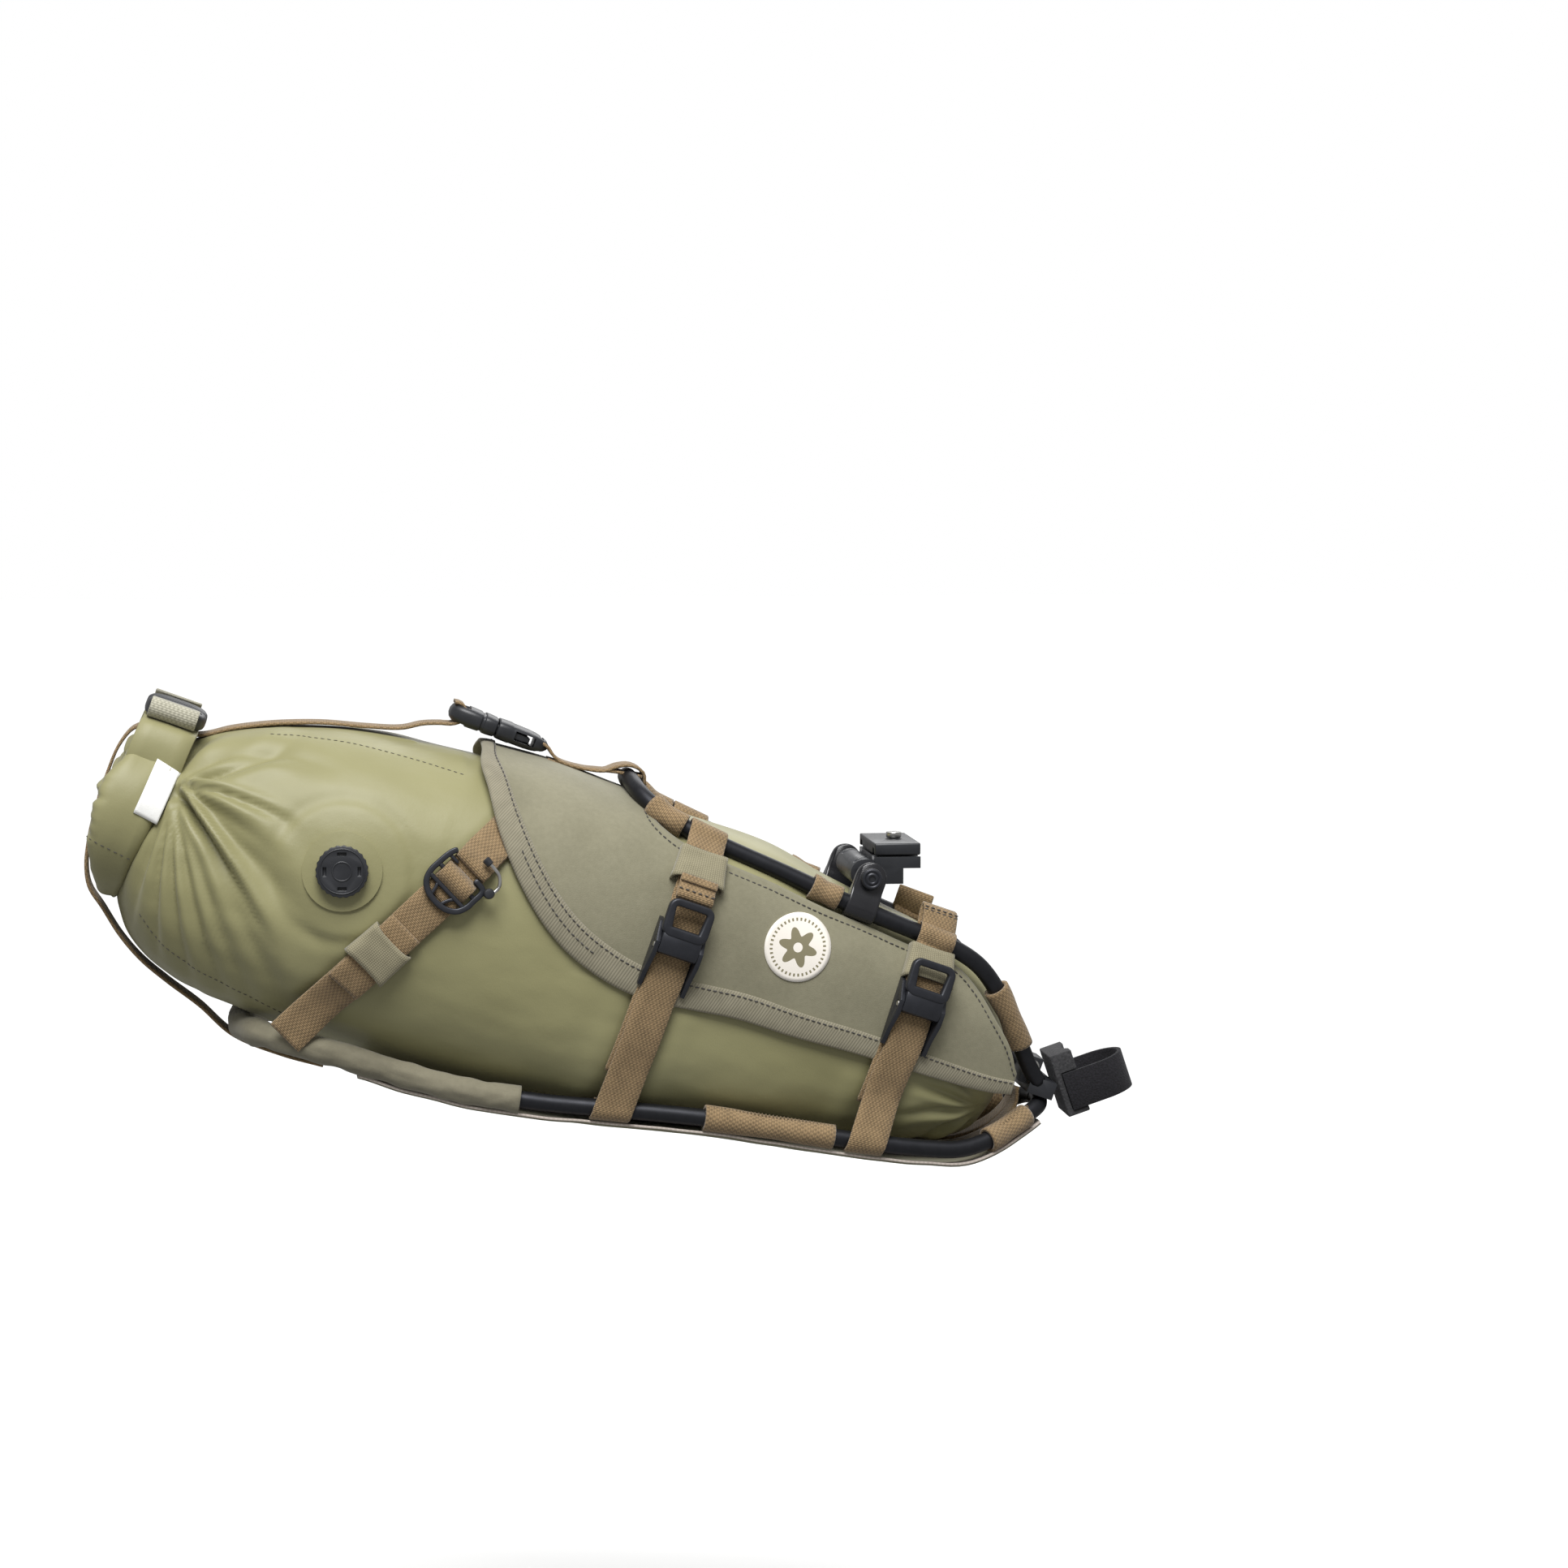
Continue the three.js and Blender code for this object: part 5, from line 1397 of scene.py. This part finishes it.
def stitchTree():
    tree = bpy.data.node_groups.new("stitches", "GeometryNodeTree")
    face = tree.interface
    face.new_socket("Geometry", in_out="INPUT", socket_type="NodeSocketGeometry")
    wanted = [("Spacing", "NodeSocketFloat"), ("Length", "NodeSocketFloat"), ("Radius", "NodeSocketFloat"), ("Wander", "NodeSocketFloat"), ("Seed", "NodeSocketInt"), ("Thread", "NodeSocketMaterial")]
    for label, kind in wanted:
        face.new_socket(label, in_out="INPUT", socket_type=kind)
    face.new_socket("Geometry", in_out="OUTPUT", socket_type="NodeSocketGeometry")

    def add(kind, **values):
        node = tree.nodes.new(kind)
        for key, value in values.items():
            setattr(node, key, value)
        return node

    link = tree.links.new
    given = add("NodeGroupInput")
    curve = add("GeometryNodeMeshToCurve")
    link(given.outputs["Geometry"], curve.inputs[0])
    even = add("GeometryNodeResampleCurve", mode="LENGTH")
    link(curve.outputs[0], even.inputs["Curve"])
    link(given.outputs["Spacing"], even.inputs["Length"])
    bead = add("GeometryNodeMeshUVSphere")
    bead.inputs["Segments"].default_value = 8
    bead.inputs["Rings"].default_value = 6
    bead.inputs["Radius"].default_value = 1.0
    size = add("ShaderNodeCombineXYZ")
    half = add("ShaderNodeMath", operation="MULTIPLY")
    link(given.outputs["Length"], half.inputs[0])
    half.inputs[1].default_value = 0.5
    link(half.outputs[0], size.inputs[0])
    link(given.outputs["Radius"], size.inputs[1])
    link(given.outputs["Radius"], size.inputs[2])
    shape = add("GeometryNodeTransform")
    link(bead.outputs[0], shape.inputs["Geometry"])
    link(size.outputs[0], shape.inputs["Scale"])
    along = add("GeometryNodeInputTangent")
    turn = add("FunctionNodeAlignRotationToVector", axis="X")
    link(along.outputs[0], turn.inputs["Vector"])
    place = add("GeometryNodeInstanceOnPoints")
    link(even.outputs[0], place.inputs["Points"])
    link(shape.outputs[0], place.inputs["Instance"])
    link(turn.outputs[0], place.inputs["Rotation"])
    chance = add("FunctionNodeRandomValue", data_type="FLOAT_VECTOR")
    link(given.outputs["Seed"], chance.inputs["Seed"])
    least = add("ShaderNodeMath", operation="MULTIPLY")
    link(given.outputs["Wander"], least.inputs[0])
    least.inputs[1].default_value = -1.0
    link(least.outputs[0], chance.inputs[0])
    link(given.outputs["Wander"], chance.inputs[1])
    wander = add("GeometryNodeRotateInstances")
    link(place.outputs[0], wander.inputs["Instances"])
    link(chance.outputs[0], wander.inputs["Rotation"])
    real = add("GeometryNodeRealizeInstances")
    link(wander.outputs[0], real.inputs[0])
    painted = add("GeometryNodeSetMaterial")
    link(real.outputs[0], painted.inputs["Geometry"])
    link(given.outputs["Thread"], painted.inputs["Material"])
    result = add("NodeGroupOutput")
    link(painted.outputs[0], result.inputs[0])
    return tree


stitching = stitchTree()


def sew(name, lines, values, slotName="thread"):  # lines in the row's frame, in metres
    points, edges = [], []
    for line in lines:
        start = len(points)
        points += [tuple(p) for p in line]
        edges += [(start + i, start + i + 1) for i in range(len(line) - 1)]
    mesh = bpy.data.meshes.new(name)
    mesh.from_pydata(points, edges, [])
    piece = bpy.data.objects.new(name, mesh)
    scene.collection.objects.link(piece)
    nodesOn = piece.modifiers.new("stitches", "NODES")
    nodesOn.node_group = stitching
    for item in stitching.interface.items_tree:
        if item.item_type == "SOCKET" and item.in_out == "INPUT" and item.name in values:
            nodesOn[item.identifier] = values[item.name]
    applied(piece)
    piece.data.polygons.foreach_set("use_smooth", [True] * len(piece.data.polygons))
    settle(piece, "root", None)
    return piece


def panelRow(inwards, offset, side, first=9, last=None, edge="lower"):
    count = 260
    lower, upper = panelEdges(count)
    line = []
    for i in range(first, last or count - 2):
        if edge == "lower":
            line.append(panelPoint(lower[i], upper[i], inwards, offset, side))
        else:
            line.append(panelPoint(upper[i], lower[i], inwards, offset, side))
    return toRow(line)


heavyStitch = {"Spacing": 0.0032, "Length": 0.0024, "Radius": 0.00036, "Wander": 0.12, "Seed": 3, "Thread": darkThread}
fineStitch = {"Spacing": 0.0033, "Length": 0.0021, "Radius": 0.00022, "Wander": 0.08, "Seed": 5, "Thread": darkThread}
panelRows, bagRows, strapRows = [], [], []
for side in (1, -1):
    panelRows.append(panelRow(8.0, 3.0, side))
    panelRows.append(panelRow(4.6, 3.15, side, 52, 92))
    panelRows.append(panelRow(3.4, 2.05, side, 70, None, "upper"))
    top = [(s, rowAt(drybagStations, s)[0] - drop) for s, drop in ((-470, 2.4), (-455, 3.6), (-430, 5.5), (-400, 7.5), (-374, 9))]
    bagRows.append(drape([p[:2] for p in smoothLine([(*p, 0) for p in top], 1.5)], bagTree, 0.12, side))
    low = [(s, rowAt(drybagStations, s)[1] + rise) for s, rise in ((-502, 18), (-490, 16), (-470, 15), (-450, 14), (-430, 12), (-417, 10))]
    bagRows.append(drape([p[:2] for p in smoothLine([(*p, 0) for p in low], 1.5)], bagTree, 0.12, side))
    bagRows.append(drape([(s, -49.5 - (s + 543) * 0.15) for s in np.arange(-540, -516, 1.2)], rollTree, 0.12, side))
sew("panel_stitches", panelRows, heavyStitch)
sew("drybag_stitches", bagRows, fineStitch)


def acrossFitting(fitting, z, lift, half, rows=(0,)):
    return [toRow(fitting.at([(x, lift, z + r) for x in np.linspace(-half, half, 12)])) for r in rows]


for name in sides:
    strapRows += acrossFitting(keepers["rear", name], -16.5, 5.6, 8.6)
    strapRows += acrossFitting(keepers["front", name], 29.5, 5.0, 8.6, (0, -1.6))
sew("strap_stitches", strapRows, heavyStitch)
combStitch = {"Spacing": 0.0019, "Length": 0.0009, "Radius": 0.0011, "Wander": 0.1, "Seed": 8, "Thread": brownWebbing}
combs = []
for name, side in sides.items():
    for level, where, start, end in laces:
        if level == "lower":
            line = wrapLine(level, start - 1, end + 1, side)
            combs.append(toRow(line + np.array([0, side * 1.6, 5.9])))
sew("lacing_stitches", combs, combStitch)
print("stitched")

# ---------- badge and small fittings ----------


def makeBadgeFinish():
    material, tree, shader = startFinish("badgeCream", (0.90, 0.85, 0.77), 0.55)
    parts = tree.nodes.new("ShaderNodeSeparateXYZ")
    tree.links.new(tree.nodes.new("ShaderNodeUVMap").outputs[0], parts.inputs[0])
    x, y = parts.outputs[0], parts.outputs[1]
    far = mathOf(tree, "SQRT", mathOf(tree, "ADD", mathOf(tree, "MULTIPLY", x, x), mathOf(tree, "MULTIPLY", y, y)))
    turn = mathOf(tree, "ARCTAN2", y, x)
    petals = mathOf(tree, "ADD", mathOf(tree, "MULTIPLY", mathOf(tree, "COSINE", mathOf(tree, "MULTIPLY", turn, 6.0)), 0.13), 0.46)
    motif = mathOf(tree, "MULTIPLY", mathOf(tree, "LESS_THAN", far, petals), mathOf(tree, "GREATER_THAN", far, 0.14))
    ticks = mathOf(tree, "GREATER_THAN", mathOf(tree, "SINE", mathOf(tree, "MULTIPLY", turn, 40.0)), 0.2)
    ring = mathOf(tree, "LESS_THAN", mathOf(tree, "ABSOLUTE", mathOf(tree, "SUBTRACT", far, 0.80)), 0.045)
    marked = mathOf(tree, "MAXIMUM", motif, mathOf(tree, "MULTIPLY", ring, ticks))
    tree.links.new(shadeBetween(tree, marked, 0.0, 1.0, (0.90, 0.85, 0.77), (0.24, 0.215, 0.13)), shader.inputs["Base Color"])
    return material


def makeBadge():
    settings = {"centre": (-185, 16.7), "radius": 17.5, "rings": 9, "around": 56, "lift": 0.35, "thick": 0.5}
    spots, flat = [], []
    for i in range(settings["rings"] + 1):
        for k in range(settings["around"]):
            turn = 2 * math.pi * k / settings["around"]
            r = max(i / settings["rings"], 0.02)
            flat.append((r * math.cos(turn), r * math.sin(turn)))
            spots.append((settings["centre"][0] + settings["radius"] * flat[-1][0], settings["centre"][1] + settings["radius"] * flat[-1][1]))
    placed = drape(spots, panelTree, settings["lift"], -1)
    n = settings["around"]
    faces = [(i * n + k, i * n + (k + 1) % n, (i + 1) * n + (k + 1) % n, (i + 1) * n + k) for i in range(settings["rings"]) for k in range(n)]
    faces.append(tuple(range(n)))
    uv = [flat[v] for f in faces for v in f]
    piece = meshPiece("round_badge", placed, faces, makeBadgeFinish(), uv)
    thick = piece.modifiers.new("thickness", "SOLIDIFY")
    thick.thickness = settings["thick"] * metre
    thick.offset = 0
    return settle(piece, "root", None)


makeBadge()


def makePins():
    for name, side in sides.items():
        bolt = turned(f"rail_bolt_{name}", (-159, side * 53.6, 61.5), (0, side, 0), [(-1.0, 5.2), (0.2, 5.2), (0.7, 4.8), (0.7, 3.9), (0.2, 3.6), (0.2, 3.1), (0.9, 2.9), (0.9, 1.7), (-0.6, 1.6), (-0.8, 0.3)], gunmetal)
        settle(bolt, "root", "steel")
    cap = Place(*valveAt, -1, 0, 0, drybagStations)
    rim = turned("valve_rim", cap.origin, cap.y, [(7.9, 11.6), (8.3, 11.4), (8.3, 10.9), (7.9, 10.6)], buckleBlack, 48, True)
    settle(rim, "valve_cap", "black_plastic")
    hub = turned("valve_hub", cap.origin, cap.y, [(7.9, 5.2), (8.25, 5.0), (8.25, 4.4), (7.9, 4.2)], buckleBlack, 40, True)
    settle(hub, "valve_cap", "black_plastic")


makePins()
print("badge and pins made")

settle(drybag, "root", "coated_cloth", "drybag_body")
settle(roll, "root", "coated_cloth", "drybag_roll")

# ---------- floor, light and camera ----------


def makeStage():
    floorMaterial, tree, shader = startFinish("paleFloor", (0.93, 0.93, 0.925), 0.9)
    shader.inputs["Emission Color"].default_value = (1, 1, 1, 1)
    shader.inputs["Emission Strength"].default_value = 0.12
    dim = tree.nodes.new("ShaderNodeBsdfDiffuse")
    dim.inputs[0].default_value = (0.24, 0.24, 0.24, 1)
    seen = tree.nodes.new("ShaderNodeLightPath")
    either = tree.nodes.new("ShaderNodeMixShader")
    tree.links.new(seen.outputs["Is Camera Ray"], either.inputs[0])
    tree.links.new(dim.outputs[0], either.inputs[1])
    tree.links.new(shader.outputs[0], either.inputs[2])
    tree.links.new(either.outputs[0], tree.nodes["Material Output"].inputs[0])
    floorMesh = bpy.data.meshes.new("floor")
    size, height = 14.0, -0.34
    floorMesh.from_pydata([(-size, -size, height), (size, -size, height), (size, size, height), (-size, size, height)], [], [(0, 1, 2, 3)])
    floorMesh.materials.append(floorMaterial)
    floor = bpy.data.objects.new("floor", floorMesh)
    scene.collection.objects.link(floor)
    world = bpy.data.worlds.new("studio")
    scene.world = world
    world.use_nodes = True
    tree = world.node_tree
    background = tree.nodes["Background"]
    background.inputs[0].default_value = (1, 1, 1, 1)
    background.inputs[1].default_value = 0.38
    shown = tree.nodes.new("ShaderNodeBackground")
    shown.inputs[0].default_value = (1, 1, 1, 1)
    shown.inputs[1].default_value = 1.0
    path = tree.nodes.new("ShaderNodeLightPath")
    mix = tree.nodes.new("ShaderNodeMixShader")
    tree.links.new(path.outputs["Is Camera Ray"], mix.inputs[0])
    tree.links.new(background.outputs[0], mix.inputs[1])
    tree.links.new(shown.outputs[0], mix.inputs[2])
    tree.links.new(mix.outputs[0], tree.nodes["World Output"].inputs[0])
    sun = bpy.data.lights.new("sky light", "SUN")
    sun.energy = 2.3
    sun.angle = math.radians(45)
    sunHolder = bpy.data.objects.new("sky light", sun)
    sunHolder.rotation_euler = Vector((0.05, 0.5, -1.0)).to_track_quat("-Z", "Y").to_euler()
    scene.collection.objects.link(sunHolder)
    lamps = [("key", (-0.45, -1.1, 1.5), 0.8, 18), ("rim", (0.3, 1.4, 1.1), 1.2, 9)]
    aim = Vector((-0.26, 0, 0.09))
    for name, where, size, power in lamps:
        lamp = bpy.data.lights.new(name, "AREA")
        lamp.shape = "SQUARE"
        lamp.size = size
        lamp.energy = power
        holder = bpy.data.objects.new(name, lamp)
        holder.location = where
        holder.rotation_euler = (aim - Vector(where)).to_track_quat("-Z", "Y").to_euler()
        scene.collection.objects.link(holder)


def makeCamera():
    where = Vector((-0.4302, -2.1417, 0.3455))
    aim = Vector((-0.1631, 0.0336, 0.1538))
    frameWidth, distance = 0.8308, 2.2
    camera = bpy.data.cameras.new("camera")
    camera.sensor_width = 36
    camera.lens = 36 * distance / frameWidth
    camera.clip_start = 0.05
    holder = bpy.data.objects.new("camera", camera)
    holder.location = where
    holder.rotation_euler = (aim - where).to_track_quat("-Z", "Y").to_euler()
    scene.collection.objects.link(holder)
    scene.camera = holder


makeStage()
makeCamera()
scene.view_settings.view_transform = "Standard"
print("stage set")
